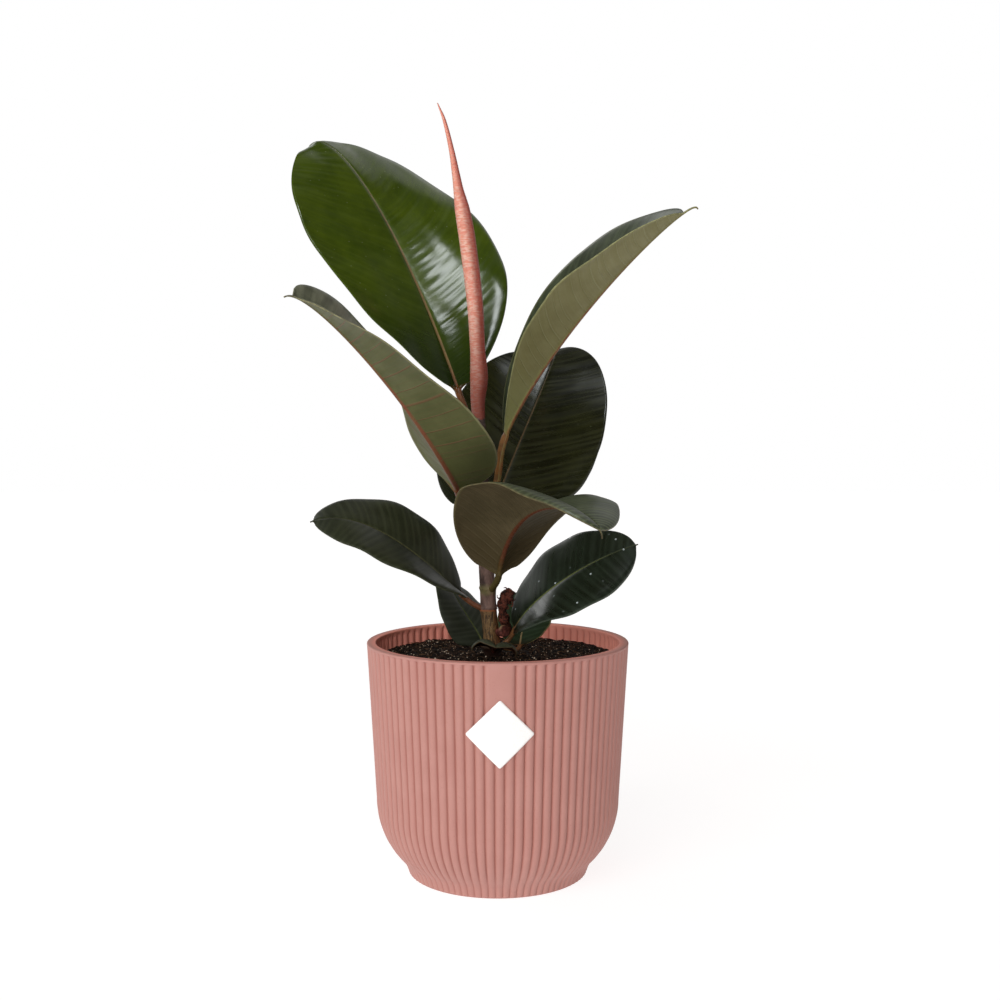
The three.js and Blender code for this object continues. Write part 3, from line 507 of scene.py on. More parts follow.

# upper: the two greens of the upper face and the third tone at its base, painted shade where it is darker;
# under: the same for the underside
# veinStep: millimetres from one side vein to the next; lines: how clearly they are drawn above and below
# ridgeSheen: how much painted sheen pales the upper face between veins; gloss: its roughness; ribHalf: half
# the midrib
# rim: how clearly the thin border is drawn above and below; dust: strength of pale dust dots; dropGlints:
# strength of the painted glints of water drops
plainLook = {
    "underMidrib": (112, 74, 46), "vein": (86, 80, 54), "veinBend": 0.006, "veinSlope": 0.32,
    "lines": (0.12, 0.5), "ridgeSheen": 0.4, "small": 0.14, "gloss": 0.36, "baseDark": 0.2,
    "dust": 0.1, "dropGlints": 0.0, "ripple": 0.05,
}
looks = {
    "bright": {
        "upper": ((55, 72, 8), (68, 85, 12), (20, 33, 5)),
        "under": ((96, 100, 58), (116, 118, 74), (84, 80, 48)), "midrib": (118, 92, 48),
        "underMidrib": (140, 84, 50), "stalk": (104, 62, 34), "ribHalf": 1.2, "vein": (120, 104, 66),
        "veinStep": 5.0, "veinBend": 0.004, "lines": (0.1, 0.5), "ridgeSheen": 0.12, "edge": (72, 86, 30),
        "rim": (0.0, 0.4), "gloss": 0.17, "baseDark": 0.42, "dust": 0.4, "ripple": 0.12},
    "left": {
        # its upper greens are pale and grey: painted sheen over the leaf's own green
        "upper": ((58, 64, 44), (104, 108, 88), (28, 32, 20)),
        "under": ((75, 78, 44), (88, 90, 54), (92, 95, 54)), "midrib": (96, 70, 44),
        "underMidrib": (116, 64, 44), "ribHalf": 1.9, "vein": (104, 70, 48), "veinStep": 8.5,
        "veinBend": 0.003, "veinSlope": 0.0, "lines": (0.2, 0.7), "ridgeSheen": 0.3, "edge": (140, 136, 100),
        "rim": (0.2, 0.6), "gloss": 0.34, "baseDark": 0.3},
    "right": {
        "upper": ((34, 42, 22), (56, 64, 44), (24, 30, 14)),
        "under": ((107, 102, 62), (117, 113, 72), (122, 124, 74)), "midrib": (104, 84, 54),
        "underMidrib": (118, 66, 44), "stalk": (120, 82, 44), "ribHalf": 1.3, "vein": (124, 122, 84),
        "veinStep": 6.6, "veinBend": 0.012, "lines": (0.2, 0.5), "ridgeSheen": 0.3, "edge": (150, 150, 104),
        "rim": (0.2, 0.6), "gloss": 0.32, "baseDark": 0.3},
    "back": {
        "upper": ((16, 18, 5), (31, 33, 13), (20, 23, 8)),
        "under": ((84, 86, 52), (98, 98, 64), (76, 74, 42)), "midrib": (86, 68, 40),
        "underMidrib": (120, 70, 46), "ribHalf": 0.7, "vein": (100, 84, 56), "veinStep": 4.6,
        "veinBend": 0.004, "lines": (0.15, 0.6), "ridgeSheen": 0.5, "edge": (44, 46, 28), "rim": (0.1, 0.4),
        "gloss": 0.27, "ripple": 0.06},
    "front": {
        "upper": ((32, 41, 22), (68, 76, 52), (32, 38, 22)),
        "under": ((68, 60, 40), (84, 74, 52), (64, 54, 33)), "midrib": (96, 70, 44),
        "underMidrib": (88, 46, 28), "stalk": (72, 62, 30), "ribHalf": 1.15, "vein": (82, 74, 50),
        "veinStep": 3.4, "veinBend": 0.002, "lines": (0.5, 0.1), "ridgeSheen": 0.8, "small": 0.05,
        "edge": (104, 96, 64), "rim": (0.3, 0.5), "gloss": 0.44, "baseDark": 0.25, "ripple": 0.03},
    "low": {
        "upper": ((30, 34, 19), (44, 48, 32), (26, 28, 14)),
        "under": ((80, 80, 50), (92, 92, 62), (68, 62, 38)), "midrib": (80, 80, 48),
        "underMidrib": (116, 70, 46), "ribHalf": 0.8, "vein": (92, 78, 54), "veinStep": 4.4,
        "lines": (0.15, 0.5), "edge": (60, 64, 40), "rim": (0.15, 0.4), "gloss": 0.4},
    "blue": {
        "upper": ((18, 24, 14), (29, 37, 27), (18, 22, 11)),
        "under": ((76, 80, 50), (90, 94, 62), (62, 62, 36)), "midrib": (92, 100, 48), "ribHalf": 0.75,
        "veinStep": 4.2, "edge": (70, 84, 66), "rim": (0.3, 0.4), "gloss": 0.3, "ripple": 0.06,
        "dropGlints": 0.85},
    "blueBack": {
        "upper": ((34, 38, 28), (48, 52, 42), (22, 26, 15)),
        "under": ((76, 80, 50), (90, 94, 62), (62, 62, 36)), "midrib": (74, 82, 44), "ribHalf": 0.6,
        "veinStep": 3.6, "edge": (66, 74, 50), "rim": (0.2, 0.4)},
    "fresh": {
        "upper": ((30, 40, 22), (46, 62, 42), (32, 26, 16)),
        "under": ((84, 88, 54), (98, 102, 66), (74, 60, 36)), "midrib": (168, 148, 108), "ribHalf": 0.7,
        "veinStep": 3.0, "lines": (0.2, 0.5), "edge": (150, 140, 92), "rim": (0.5, 0.5), "baseDark": 0.15},
    "curled": {
        "upper": ((40, 44, 30), (54, 58, 42), (34, 34, 22)),
        # its underside tones are near-black: the dark brown underside deepened with painted shade of the
        # hollow under the curl
        "under": ((26, 15, 11), (40, 22, 15), (24, 13, 10)), "midrib": (70, 64, 44),
        "underMidrib": (56, 26, 18), "ribHalf": 0.6, "vein": (40, 20, 14), "veinStep": 3.0,
        "lines": (0.2, 0.4), "ridgeSheen": 0.3, "edge": (78, 66, 46), "rim": (0.5, 0.7), "gloss": 0.5,
        "baseDark": 0.1, "ripple": 0.04},
}
underRough, ribRough = 0.56, 0.5

# pale dots on the upper faces, as dust or lime leaves, and painted glints of water drops
# how wide the noise is that scatters them, from, to, least share; how many dots, their core and reach; tone
dots = {
    "dust": (4, 0.42, 0.62, 0.0, 9.0, 0.015, 0.04, tone(150, 160, 130)),
    "dropGlints": (5, 0.45, 0.6, 0.1, 7.0, 0.02, 0.05, tone(186, 198, 200)),
}


def stemCentre(z):
    return Vector((easedRow(stem["path"], z)[0], 0, z))


def stemRadius(z):
    top = stem["path"][-1][0]
    share = (z - stem["soilLevel"]) / (top - stem["soilLevel"])
    return mix(stem["rootRadius"], stem["topRadius"], smooth(share))


class Bezier:
    # a cubic curve walked by its length
    def __init__(self, *corners):
        steps = 300
        self.corners = [Vector(corner) for corner in corners]
        self.lengths = [0.0]
        last = self.at(0)
        for k in range(1, steps + 1):
            here = self.at(k / steps)
            self.lengths.append(self.lengths[-1] + (here - last).length)
            last = here
        self.length = self.lengths[-1]

    def at(self, t):
        a, b, c, d = self.corners
        s = 1 - t
        return a * s ** 3 + b * (3 * s * s * t) + c * (3 * s * t * t) + d * t ** 3

    def slope(self, t):
        a, b, c, d = self.corners
        s = 1 - t
        return ((b - a) * (s * s) + (c - b) * (2 * s * t) + (d - c) * (t * t)).normalized()

    def walk(self, share):
        goal = clamp(share) * self.length
        low, high = 0, len(self.lengths) - 1
        while high - low > 1:
            middle = (low + high) // 2
            if self.lengths[middle] < goal:
                low = middle
            else:
                high = middle
        step = self.lengths[high] - self.lengths[low]
        t = (low + (goal - self.lengths[low]) / step) / (len(self.lengths) - 1)
        return self.at(t), self.slope(t)


def halfWidth(leaf, share):
    body = clamp(share / (1 - leaf["drip"])) ** leaf["widest"]
    blunt = leaf["bluntBase"] if body < 0.5 else leaf["bluntTip"]
    oval = max(0, 1 - abs(2 * body - 1) ** blunt) ** (1 / blunt)
    drip = leafShape["dripHalf"] * clamp((1 - share) / (2 * leaf["drip"]))
    neck = leaf["stalk"] * clamp(1 - share / leafShape["neckShare"])
    return max(leafShape["margin"] / 2, hypot(leaf["width"] / 2 * oval, drip, neck))


def midribFrame(leaf, along, share):
    face = Vector(leaf["face"]).normalized()
    up = (face - along * face.dot(along)).normalized()
    right = along.cross(up)
    roll = radians(mix(*leaf["roll"], share))
    return up * cos(roll) + right * sin(roll), right * cos(roll) - up * sin(roll)


def laneList(lanesPerHalf):
    # signed places across the blade: the first five of each half lie on the midrib
    half = [("rib", k / 4) for k in range(1, 5)]
    half += [("blade", (k / lanesPerHalf) ** 0.9) for k in range(1, lanesPerHalf + 1)]
    left = [(-1, kind, lane) for kind, lane in reversed(half)]
    return left + [(0, "rib", 0.0)] + [(1, kind, lane) for kind, lane in half]


def skinHeight(leaf, look, side, reach, outness, share, alongMm, seed):
    # how far the skin stands off the blade's flat middle, and the beat that the side veins keep
    blade = smooth(share / leafShape["flareShare"])
    wave = leafShape["wave"] * sin(2 * pi * leafShape["waves"] * share + side) * outness ** 2
    wave *= smooth(4 * share * (1 - share)) if 0 < share < 1 else 0
    # side veins leave the midrib at a slope and bend on towards the tip
    vein = alongMm - look["veinSlope"] * reach - look["veinBend"] * reach ** 2
    beat = vein / look["veinStep"] + 0.9 * waver(vein * 0.09, side * 3.1, seed)
    ripple = -look["ripple"] * cos(2 * pi * beat)
    ripple *= smooth(outness * 5) * (1 - smooth((outness - 0.35) / 0.6)) * blade
    ripple *= 0.65 + 0.9 * waver(vein * 0.11, side * reach * 0.07, seed + 3)
    ripple *= leaf["calm"] if side < 0 else 1
    billow = leaf["billow"] * waver(alongMm * 0.035, side * reach * 0.05, seed + 7)
    billow *= smooth(outness * 2) * blade
    inRoll = clamp((outness - leafShape["rollFrom"]) / (1 - leafShape["rollFrom"]))
    rolled = leaf["rollBack"][side > 0] * inRoll ** 2
    rolled *= smooth(share * 12) * (1 - smooth((share - leaf["rollEnd"]) / 0.12))
    return wave + ripple + billow - rolled, beat


def bentAcross(leaf, side, distance, height, share, curlSpan):
    # how far sideways and up a point comes when its half is folded at the midrib and curled from there
    folding = smooth(share / leafShape["foldShare"])
    folds = leaf["foldLeft"] if side < 0 else leaf["foldRight"]
    fold = radians(mix(*folds, clamp(share))) * folding if side else 0
    curl = radians(leaf["curl"]) * folding / curlSpan
    angle = fold + curl * abs(distance)
    if abs(curl) < 1e-6:
        out, lift = abs(distance) * cos(fold), abs(distance) * sin(fold)
    else:
        out = (sin(angle) - sin(fold)) / curl
        lift = (cos(fold) - cos(angle)) / curl
    return copysign(1, distance) * (out - height * sin(angle)), lift + height * cos(angle)


def bladeRing(leaf, look, lanes, centre, along, share, alongMm, seed):
    # a ring of points with their places in the three maps, over the upper face and back under it
    up, right = midribFrame(leaf, along, clamp(share))
    span = halfWidth(leaf, clamp(share))
    # with an even curl the tip stays open, like the end of a rolled sheet
    curlSpan = leaf["width"] / 2 if leaf["evenCurl"] else span
    blade = smooth(share / leafShape["flareShare"])
    taper = mix(1, leafShape["midribTip"], clamp(share)) * mix(1, 0.4, smooth((share - 0.93) / 0.07))
    ribHalf = min(span * 0.4, leaf["stalk"] * leafShape["midribShare"] * taper)
    ribDepth = leafShape["midribDepth"] * (leaf["stalk"] / leafShape["fullStalk"]) * taper
    scale = min(1.0, leaf["width"] / leafShape["fullWidth"])
    ring = []
    for face in (1, -1):
        for k, (side, kind, lane) in enumerate(lanes[::face]):
            reach = lane * ribHalf if kind == "rib" else ribHalf + lane * (span - ribHalf)
            outness = reach / span
            stands, beat = skinHeight(leaf, look, side, reach, outness, share, alongMm, seed)
            if face > 0:
                depth = -leafShape["channel"] * bump(reach, 0, ribHalf * 0.8)
            else:
                depth = -ribDepth * sqrt(max(0, 1 - min(1.0, reach / ribHalf) ** 2))
            thickness = mix(leafShape["thickness"], leafShape["margin"], outness)
            flat = face * thickness / 2 + stands * scale + depth
            turn = pi * (k + 0.5) / len(lanes)
            distance = mix(-leaf["stalk"] * cos(turn) * face, side * reach, blade)
            height = mix(leaf["stalk"] * sin(turn) * face, flat, blade)
            out, lift = bentAcross(leaf, side, distance, height, share, curlSpan)
            point = (centre + right * out + up * lift) * mm
            sizePlace = (side * reach / 100, alongMm / 100)
            ring.append((point, sizePlace, (0.5 + 0.5 * side * outness, clamp(share)), (beat, side)))
    return ring


def stalkCurve(leaf, midrib):
    # from inside the stem to the knee, where the blade starts
    foot, knee = stemCentre(leaf["attach"]), Vector(leaf["knee"])
    outward = Vector((knee.x - foot.x, knee.y - foot.y, 0)).normalized()
    rise = radians(leaf["rise"])
    leaving = outward * cos(rise) + Vector((0, 0, sin(rise)))
    root = foot + outward * (stemRadius(leaf["attach"]) - leafShape["bury"])
    pull = (root - knee).length * leafShape["stalkPull"]
    return Bezier(root, root + leaving * pull, knee - midrib.slope(0) * pull, knee)


def makeLeaf(name, values, seed):
    leaf = {**plainLeaf, **values}
    look = {**plainLook, **looks[leaf["look"]]}
    midrib = Bezier(leaf["knee"], leaf["handleA"], leaf["handleB"], leaf["tip"])
    stalk = stalkCurve(leaf, midrib)
    lanes = laneList(max(9, round(leaf["width"] / 2 / leafShape["laneStep"])))
    corners = []
    stalkSteps = max(6, round(stalk.length / leafShape["stalkStep"]))
    for i in range(stalkSteps):
        alongMm = -stalk.length * (1 - i / stalkSteps)
        corners += bladeRing(leaf, look, lanes, *stalk.walk(i / stalkSteps), 0, alongMm, seed)
    bladeSteps = max(36, round(midrib.length / leafShape["ringStep"]))
    for i in range(bladeSteps + 1):
        even = i / bladeSteps
        share = mix(even, (1 - cos(pi * even)) / 2, leafShape["endPacking"])
        corners += bladeRing(leaf, look, lanes, *midrib.walk(share), share, share * midrib.length, seed)
    points, *places = [list(column) for column in zip(*corners)]
    half, size = len(lanes), 2 * len(lanes)
    rings = len(points) // size
    faces = tubeFaces(points, rings, size)
    # upper face, edge, underside, edge for each step, then the underside's finish for both ends
    sides = ([0] * (half - 1) + [2] + [1] * (half - 1) + [2]) * (rings - 1) + [1] * (2 * size)
    maps = {key: column + [column[0], column[-1]] for key, column in zip(("size", "place", "beat"), places)}
    finishes = [bladeFinish(name + side, look, side == "Upper", seed) for side in ("Upper", "Under")]
    finishes.append(edgeFinish(name + "Edge", look))
    piece = meshPiece(name.replace("leaf", "blade"), points, faces, finishes, maps, sides)
    finishPiece(piece, leaf["slot"], name)


def bladePatterns(tree, look, seed):
    # noise and lines that follow the side veins, and how far out and along a place is
    sizeMap = uvPlace(tree, "size")
    across, along = axes(tree, uvPlace(tree, "place"))[:2]
    beat, side = axes(tree, uvPlace(tree, "beat"))[:2]
    reach = calc(tree, "ABSOLUTE", axes(tree, sizeMap)[0])
    outness = calc(tree, "MULTIPLY", calc(tree, "ABSOLUTE", calc(tree, "SUBTRACT", across, 0.5)), 2.0)
    # along each vein the pattern hardly changes, from vein to vein it does
    shift = calc(tree, "MULTIPLY_ADD", side, 1.7, float(seed))
    flow = add(tree, "CombineXYZ", {0: beat, 1: calc(tree, "MULTIPLY", reach, 2.2), 2: shift}).outputs[0]
    ridge = calc(tree, "PINGPONG", beat, 0.5)
    line = remap(tree, ridge, 0.0, 0.55 / look["veinStep"], 1.0, 0.0)
    width = remap(tree, along, 0.0, 1.0, look["ribHalf"] / 100, look["ribHalf"] * 0.35 / 100, "LINEAR")
    return {
        "size": sizeMap, "along": along, "outness": outness, "ridge": ridge,
        "broad": cloud(tree, flow, 0.42, 2, 0.5),
        "streak": cloud(tree, flow, 1.6, 3, 0.55),
        "fine": cloud(tree, stretched(tree, flow, 7, 2.5, 1), 1.0, 2, 0.6),
        "blotch": cloud(tree, sizeMap, 5, 4, 0.6),
        "line": calc(tree, "MULTIPLY", line, remap(tree, outness, 0.8, 0.97, 1.0, 0.2)),
        "small": calc(tree, "PINGPONG", calc(tree, "MULTIPLY", beat, 4.0), 0.5),
        "onRib": calc(tree, "SUBTRACT", 1.0, remap(tree, calc(tree, "DIVIDE", reach, width), 0.6, 1.1)),
    }


def faceColour(tree, look, upper, seen, tones):
    # the blade's greens: blotches, bands of painted sheen above or streaks below, the base's third tone as
    # painted shade where it is darker, the veins and the border
    layer = 0 if upper else 1
    veinTone = tone(*look["vein"])
    colour = painted(tree, tones[0], (seen["blotch"], 0.35, 0.65, tones[1]))
    if upper:
        # painted sheen: the upper face pales in bands on the ridges between the side veins
        ridgeSheenMask = calc(tree, "MULTIPLY_ADD", seen["streak"], 0.8, seen["ridge"])
        pale = tone(*[c * 1.25 + 8 for c in look["upper"][1]])
        colour = painted(tree, colour, (ridgeSheenMask, 0.45, 0.95, 0.0, look["ridgeSheen"], pale),
                         (seen["fine"], 0.4, 0.7, 0.0, 0.35, tones[0]))
    else:
        colour = painted(tree, colour, (seen["streak"], 0.4, 0.7, 0.0, 0.5, tones[0]),
                         (seen["fine"], 0.45, 0.75, 0.0, 0.3, tones[1]),
                         (seen["small"], 0.0, 0.2, look["small"], 0.0, veinTone))
    # towards the base the blade turns to its third tone: painted shade where that tone is darker
    colour = painted(tree, colour, (seen["along"], 0.02, look["baseDark"], 0.85, 0.0, tones[2]))
    drawn = calc(tree, "MULTIPLY", seen["line"], look["lines"][layer])
    colour = blend(tree, drawn, colour, tones[1] if upper else veinTone)
    border = (seen["outness"], 0.955, 0.985, 0.0, look["rim"][layer], tone(*look["edge"]))
    return painted(tree, colour, border)


def midribColour(tree, look, upper, seen, tones, colour):
    # the midrib starts in the stalk's tone and pales away towards the tip
    along = seen["along"]
    ribTone, stalkTone = look["midrib" if upper else "underMidrib"], look.get("stalk", look["underMidrib"])
    rib = painted(tree, tone(*stalkTone), (along, 0.0, 0.12, tone(*ribTone)),
                  (seen["streak"], 0.4, 0.65, 0.0, 0.4, tones[2]), (along, 0.45, 0.95, 0.0, 0.8, colour))
    onStalk = remap(tree, along, 0.0, 0.02, 1.0, 0.0)
    return blend(tree, calc(tree, "MAXIMUM", seen["onRib"], onStalk), colour, rib)


def dottedColour(tree, look, size, colour):
    # dust dots, and pale dots that are painted glints of water drops
    for kind, (spread, low, high, least, scale, core, reach, dotTone) in dots.items():
        if look[kind]:
            place = remap(tree, cloud(tree, size, spread, 1), low, high, least, look[kind])
            cells = add(tree, "TexVoronoi", {"Vector": size, "Scale": scale}, voronoi_dimensions="2D")
            dot = remap(tree, cells.outputs["Distance"], core, reach, 1.0, 0.0)
            colour = blend(tree, calc(tree, "MULTIPLY", place, dot), colour, dotTone)
    return colour


def bladeFinish(name, look, upper, seed):
    if upper:
        material, tree = newFinish(name, IOR=1.45, Coat_Weight=0.08, Coat_Roughness=0.2)
    else:
        material, tree = newFinish(name, IOR=1.4, Specular_IOR_Level=0.3)
    tones = [tone(*c) for c in look["upper" if upper else "under"]]
    seen = bladePatterns(tree, look, seed)
    colour = faceColour(tree, look, upper, seen, tones)
    colour = midribColour(tree, look, upper, seen, tones, colour)
    if upper:
        colour = dottedColour(tree, look, seen["size"], colour)
    rough = look["gloss"] if upper else underRough
    rough = remap(tree, seen["streak"], 0.3, 0.75, rough - 0.04, rough + 0.1)
    rough = remap(tree, seen["onRib"], 0.0, 1.0, rough, ribRough, "LINEAR")
    layers = [(seen["broad"], 0.16 if upper else 0.1, 0.0006), (seen["streak"], 0.1, 0.0003)]
    if not upper:
        layers.append((seen["line"], 0.5, 0.0003))
    layers += [(seen["small"], 0.08, 0.0001), (seen["fine"], 0.08, 0.0001)]
    return wired(material, Base_Color=colour, Roughness=rough, Normal=relief(tree, *layers))


def edgeFinish(name, look):
    material, tree = newFinish(name, Roughness=0.6, Specular_IOR_Level=0.3)
    patch = cloud(tree, uvPlace(tree, "size"), 30, 2)
    dim = tone(*[c * 0.75 for c in look["edge"]])
    return wired(material, Base_Color=painted(tree, dim, (patch, 0.3, 0.7, tone(*look["edge"]))))


for index, (leafName, leafValues) in enumerate(leaves.items()):
    makeLeaf(leafName, leafValues, index * 5 + 1)
    print(leafName, "made")


# the stem itself

def lowBark(tree, sideways, height, stripes, flecks, patches):
    # striped bark below the ring, orange to the right, with painted shade down its left side and where it
    # leaves the soil under the curled low leaf
    colour = painted(tree, stem["olive"], (stripes, 0.42, 0.56, stem["tan"]),
                     (flecks, 0.6, 0.72, 0.0, 0.7, stem["scarTone"]))
    patchy = remap(tree, patches, 0.4, 0.6, 0.2, 0.7)
    orange = calc(tree, "MULTIPLY", remap(tree, sideways, -0.003, 0.001), patchy)
    colour = blend(tree, orange, colour, stem["orange"])
    # painted shade: darker down the left side, darkest just above the soil
    return painted(tree, colour, (sideways, -0.0105, -0.0065, 0.6, 0.0, stem["shaded"]),
                   (height, 0.1185, 0.124, 1.0, 0.0, stem["soilLineShade"]))


def highBark(tree, level, stripes, patches):
    # younger, smoother bark above the ring, with a green band at the next one
    colour = painted(tree, stem["brown"], (patches, 0.35, 0.65, stem["dark"]),
                     (stripes, 0.45, 0.7, 0.0, 0.35, stem["worn"]))
    rising = remap(tree, level, *stem["greenFrom"])
    falling = remap(tree, level, *stem["greenTo"], 0.45, 0.0)
    return blend(tree, calc(tree, "MULTIPLY", rising, falling), colour, stem["green"])


def barkFinish():
    material, tree = newFinish("bark")
    place = objectPlace(tree)
    sideways, _, height = axes(tree, place)
    stripes = cloud(tree, stretched(tree, place, 1, 1, 0.16), 1500, 4, 0.65)
    flecks = cloud(tree, stretched(tree, place, 1, 1, 0.3), 2300, 2, 0.6)
    patches = cloud(tree, stretched(tree, place, 1, 1, 0.45), 170, 4, 0.6, 0.6)
    # the heights wander a little, so that the rings sag
    level = calc(tree, "MULTIPLY_ADD", calc(tree, "SUBTRACT", patches, 0.5), 0.0022, height)
    off = calc(tree, "ABSOLUTE", calc(tree, "SUBTRACT", level, stem["ringLine"]))
    low = lowBark(tree, sideways, height, stripes, flecks, patches)
    high = highBark(tree, level, stripes, patches)
    colour = painted(tree, low, (level, *stem["barkEnd"], high),
                     (off, 0.0001, 0.0007, 0.75, 0.0, stem["orange"]))
    return wired(material, Base_Color=colour, Roughness=remap(tree, stripes, 0.3, 0.7, 0.5, 0.75),
                 Normal=relief(tree, (stripes, 0.5, 0.0004), (patches, 0.4, 0.0008)))


def makeStem():
    low, high = stem["path"][0][0], stem["path"][-1][0] + 0.2
    nodes = []
    for leaf in leaves.values():
        away = Vector(leaf["knee"]) - stemCentre(leaf["attach"])
        nodes.append((leaf["attach"], atan2(away.y, away.x)))
    sides, rows = 40, 300
    points = []
    for i in range(rows + 1):
        z = mix(low, high, i / rows)
        centre, base = stemCentre(z), stemRadius(z)
        for turn, cosine, sine in circle(sides):
            reach = base + 0.12 * waver(cosine * 1.5, sine * 1.5, z * 0.12)
            for height, angle in nodes:
                if abs(z - height) > 9:
                    continue
                facing = max(0, cos(turn - angle)) ** 2
                reach += stem["scar"] * bump(z, height + 0.8, 0.8)
                reach += stem["collar"] * facing * bump(z, height - 0.6, 2.4)
            points.append((centre + Vector((cosine, sine, 0)) * reach) * mm)
    faces = tubeFaces(points, rows + 1, sides)
    finishPiece(meshPiece("woody_stem", points, faces, [barkFinish()]), "bark", "stem")


def stubFinish():
    material, tree = newFinish("cutWood", Roughness=0.7)
    place = objectPlace(tree)
    fibre = cloud(tree, place, 700, 4, 0.65)
    flakes = cloud(tree, place, 260, 3, 0.6)
    rim = axes(tree, uvPlace(tree, "rim"))[0]
    wood, dark, darkest = stem["cut"]
    face = painted(tree, wood, (fibre, 0.35, 0.65, dark), (flakes, 0.5, 0.65, 0.0, 0.6, darkest))
    # the pale lip shows only on the knob's upper side: a painted highlight
    colour = blend(tree, rim, face, blend(tree, fibre, *stem["lip"]))
    return wired(material, Base_Color=colour, Normal=relief(tree, (fibre, 0.6, 0.0005)))


def makeStub():
    root, end = Vector(stem["stubRoot"]), Vector(stem["stubEnd"])
    axis = (end - root).normalized()
    across = axis.cross(Vector((0, 0, 1))).normalized()
    other = across.cross(axis)
    # a healed knob with a lip round its face: distance along, radius share, how strongly the painted
    # highlight on the lip's upper side shows
    rows = [(0, 0.6, 0), (0.3, 0.62, 0), (0.55, 0.72, 0), (0.7, 0.88, 0), (0.8, 1.0, 0.2), (0.88, 1.04, 1),
            (0.95, 1.0, 1), (0.99, 0.92, 0.7), (1.0, 0.82, 0), (0.99, 0.7, 0), (1.02, 0.5, 0),
            (1.04, 0.25, 0)]
    sides = 36
    points, lipHighlight = [], []
    for along, share, rim in rows:
        for _, cosine, sine in circle(sides):
            wobble = 1 + 0.07 * waver(cosine * 2, sine * 2, along * 3)
            offset = across * cosine + other * sine
            points.append((root + (end - root) * along + offset * stem["stubRadius"] * share * wobble) * mm)
            # painted highlight: the lip is pale on its upper side only
            lipHighlight.append((rim * smooth(offset.z * 1.4), 0))
    faces = tubeFaces(points, len(rows), sides)
    lipHighlight += [(0, 0), (0, 0)]
    finishPiece(meshPiece("cut_stub", points, faces, [stubFinish()], {"rim": lipHighlight}), "bark")


makeStem()
makeStub()
print("stem made")


# the rolled sheath of the growing tip

sheath = {
    # height, sideways place and radius
    "stations": ((241, -10.1, 3.42), (250.2, -10.5, 3.79), (261.7, -9.9, 4.63), (276.4, -10.6, 3.99),
                 (302.6, -12.2, 4.2), (333.9, -16, 4.3), (348.5, -18.4, 3.98), (354.8, -19.6, 3.35),
                 (360, -20.6, 2.67), (366.2, -21.6, 2.2), (380.8, -24.2, 1.41), (396.4, -28, 0.89),
                 (405.2, -31.5, 0.26)),
    "lean": 0.03, "overlap": 0.09, "seam": -0.35, "seamTwist": 0.9, "wrinkle": 0.05, "wrinkleStep": 1.5,
    "leastRadius": 0.15,
    "salmon": tone(222, 144, 124), "pale": tone(231, 184, 166), "red": tone(150, 58, 46),
    "base": tone(112, 50, 38),
}


def sheathFinish():
    material, tree = newFinish("budSheath", Specular_IOR_Level=0.3, Subsurface_Weight=0.12,
                               Subsurface_Scale=0.002)
    place = objectPlace(tree)
    aside, height = axes(tree, uvPlace(tree, "turn"))[:2]
    blur = cloud(tree, stretched(tree, place, 1, 1, 3.2), 260, 4, 0.6)
    wrinkles = cloud(tree, stretched(tree, place, 1, 1, 4.0), 290, 3, 0.6, 0.4)
    # the top is smooth and salmon, the pale wrinkles begin below it
    wrinkled = remap(tree, height, 0.62, 0.85, 1.0, 0.3)
    paleness = calc(tree, "MULTIPLY", remap(tree, wrinkles, 0.44, 0.58), wrinkled)
    colour = blend(tree, paleness, sheath["salmon"], sheath["pale"])
    # redder round the right side and towards the foot
    colour = painted(tree, colour, (blur, 0.55, 0.75, 0.0, 0.35, sheath["red"]),
                     (aside, 0.35, 0.95, 0.0, 0.85, sheath["red"]),
                     (height, 0.0, 0.42, 0.85, 0.0, sheath["base"]))
    return wired(material, Base_Color=colour, Roughness=remap(tree, wrinkles, 0.3, 0.7, 0.5, 0.38),
                 Normal=relief(tree, (wrinkles, 0.7, 0.0007), (blur, 0.3, 0.0003)))


def sheathFrame(z, low, high):
    ahead = easedRow(sheath["stations"], min(high, z + 2))[0]
    back = easedRow(sheath["stations"], max(low, z - 2))[0]
    tilt = Vector((ahead - back, sheath["lean"] * 4, 4)).normalized()
    across = Vector((0, 1, 0)).cross(tilt).normalized()
    return across, tilt.cross(across)


def makeSheath():
    foot = sheath["stations"][0][0]
    low, high = foot - 1.5, sheath["stations"][-1][0]
    sides, rows = 48, 330
    points, turns = [], []
    for i in range(rows + 1):
        share = i / rows
        z = mix(low, high, share)
        x, radius = easedRow(sheath["stations"], z)
        across, other = sheathFrame(z, low, high)
        centre = Vector((x, sheath["lean"] * (z - foot), z))
        seam = sheath["seam"] - sheath["seamTwist"] * share
        for turn, cosine, sine in circle(sides):
            around = ((turn - seam) / (2 * pi)) % 1.0
            # the free edge of the roll stands a little proud of the turn below it
            roll = 1 + sheath["overlap"] * (0.5 - around) * smooth((1 - share) * 6) * smooth(share * 12)
            wander = 2.5 * waver(cosine, sine, z * 0.3)
            crease = sin(2 * pi * z / sheath["wrinkleStep"] + wander)
            reach = max(sheath["leastRadius"], radius) * roll
            reach += sheath["wrinkle"] * crease * smooth((1 - share) * 3)
            points.append((centre + across * (reach * cosine) + other * (reach * sine)) * mm)
            turns.append((clamp(0.5 + 0.5 * cosine), share))
    faces = tubeFaces(points, rows + 1, sides)
    turns += [(0.5, 0), (0.5, 1)]
    piece = meshPiece("rolled_sheath", points, faces, [sheathFinish()], {"turn": turns})
    finishPiece(piece, "sheath", "bud_sheath")


makeSheath()
print("sheath made")


# the dead side shoot: a crumpled core and curled scraps

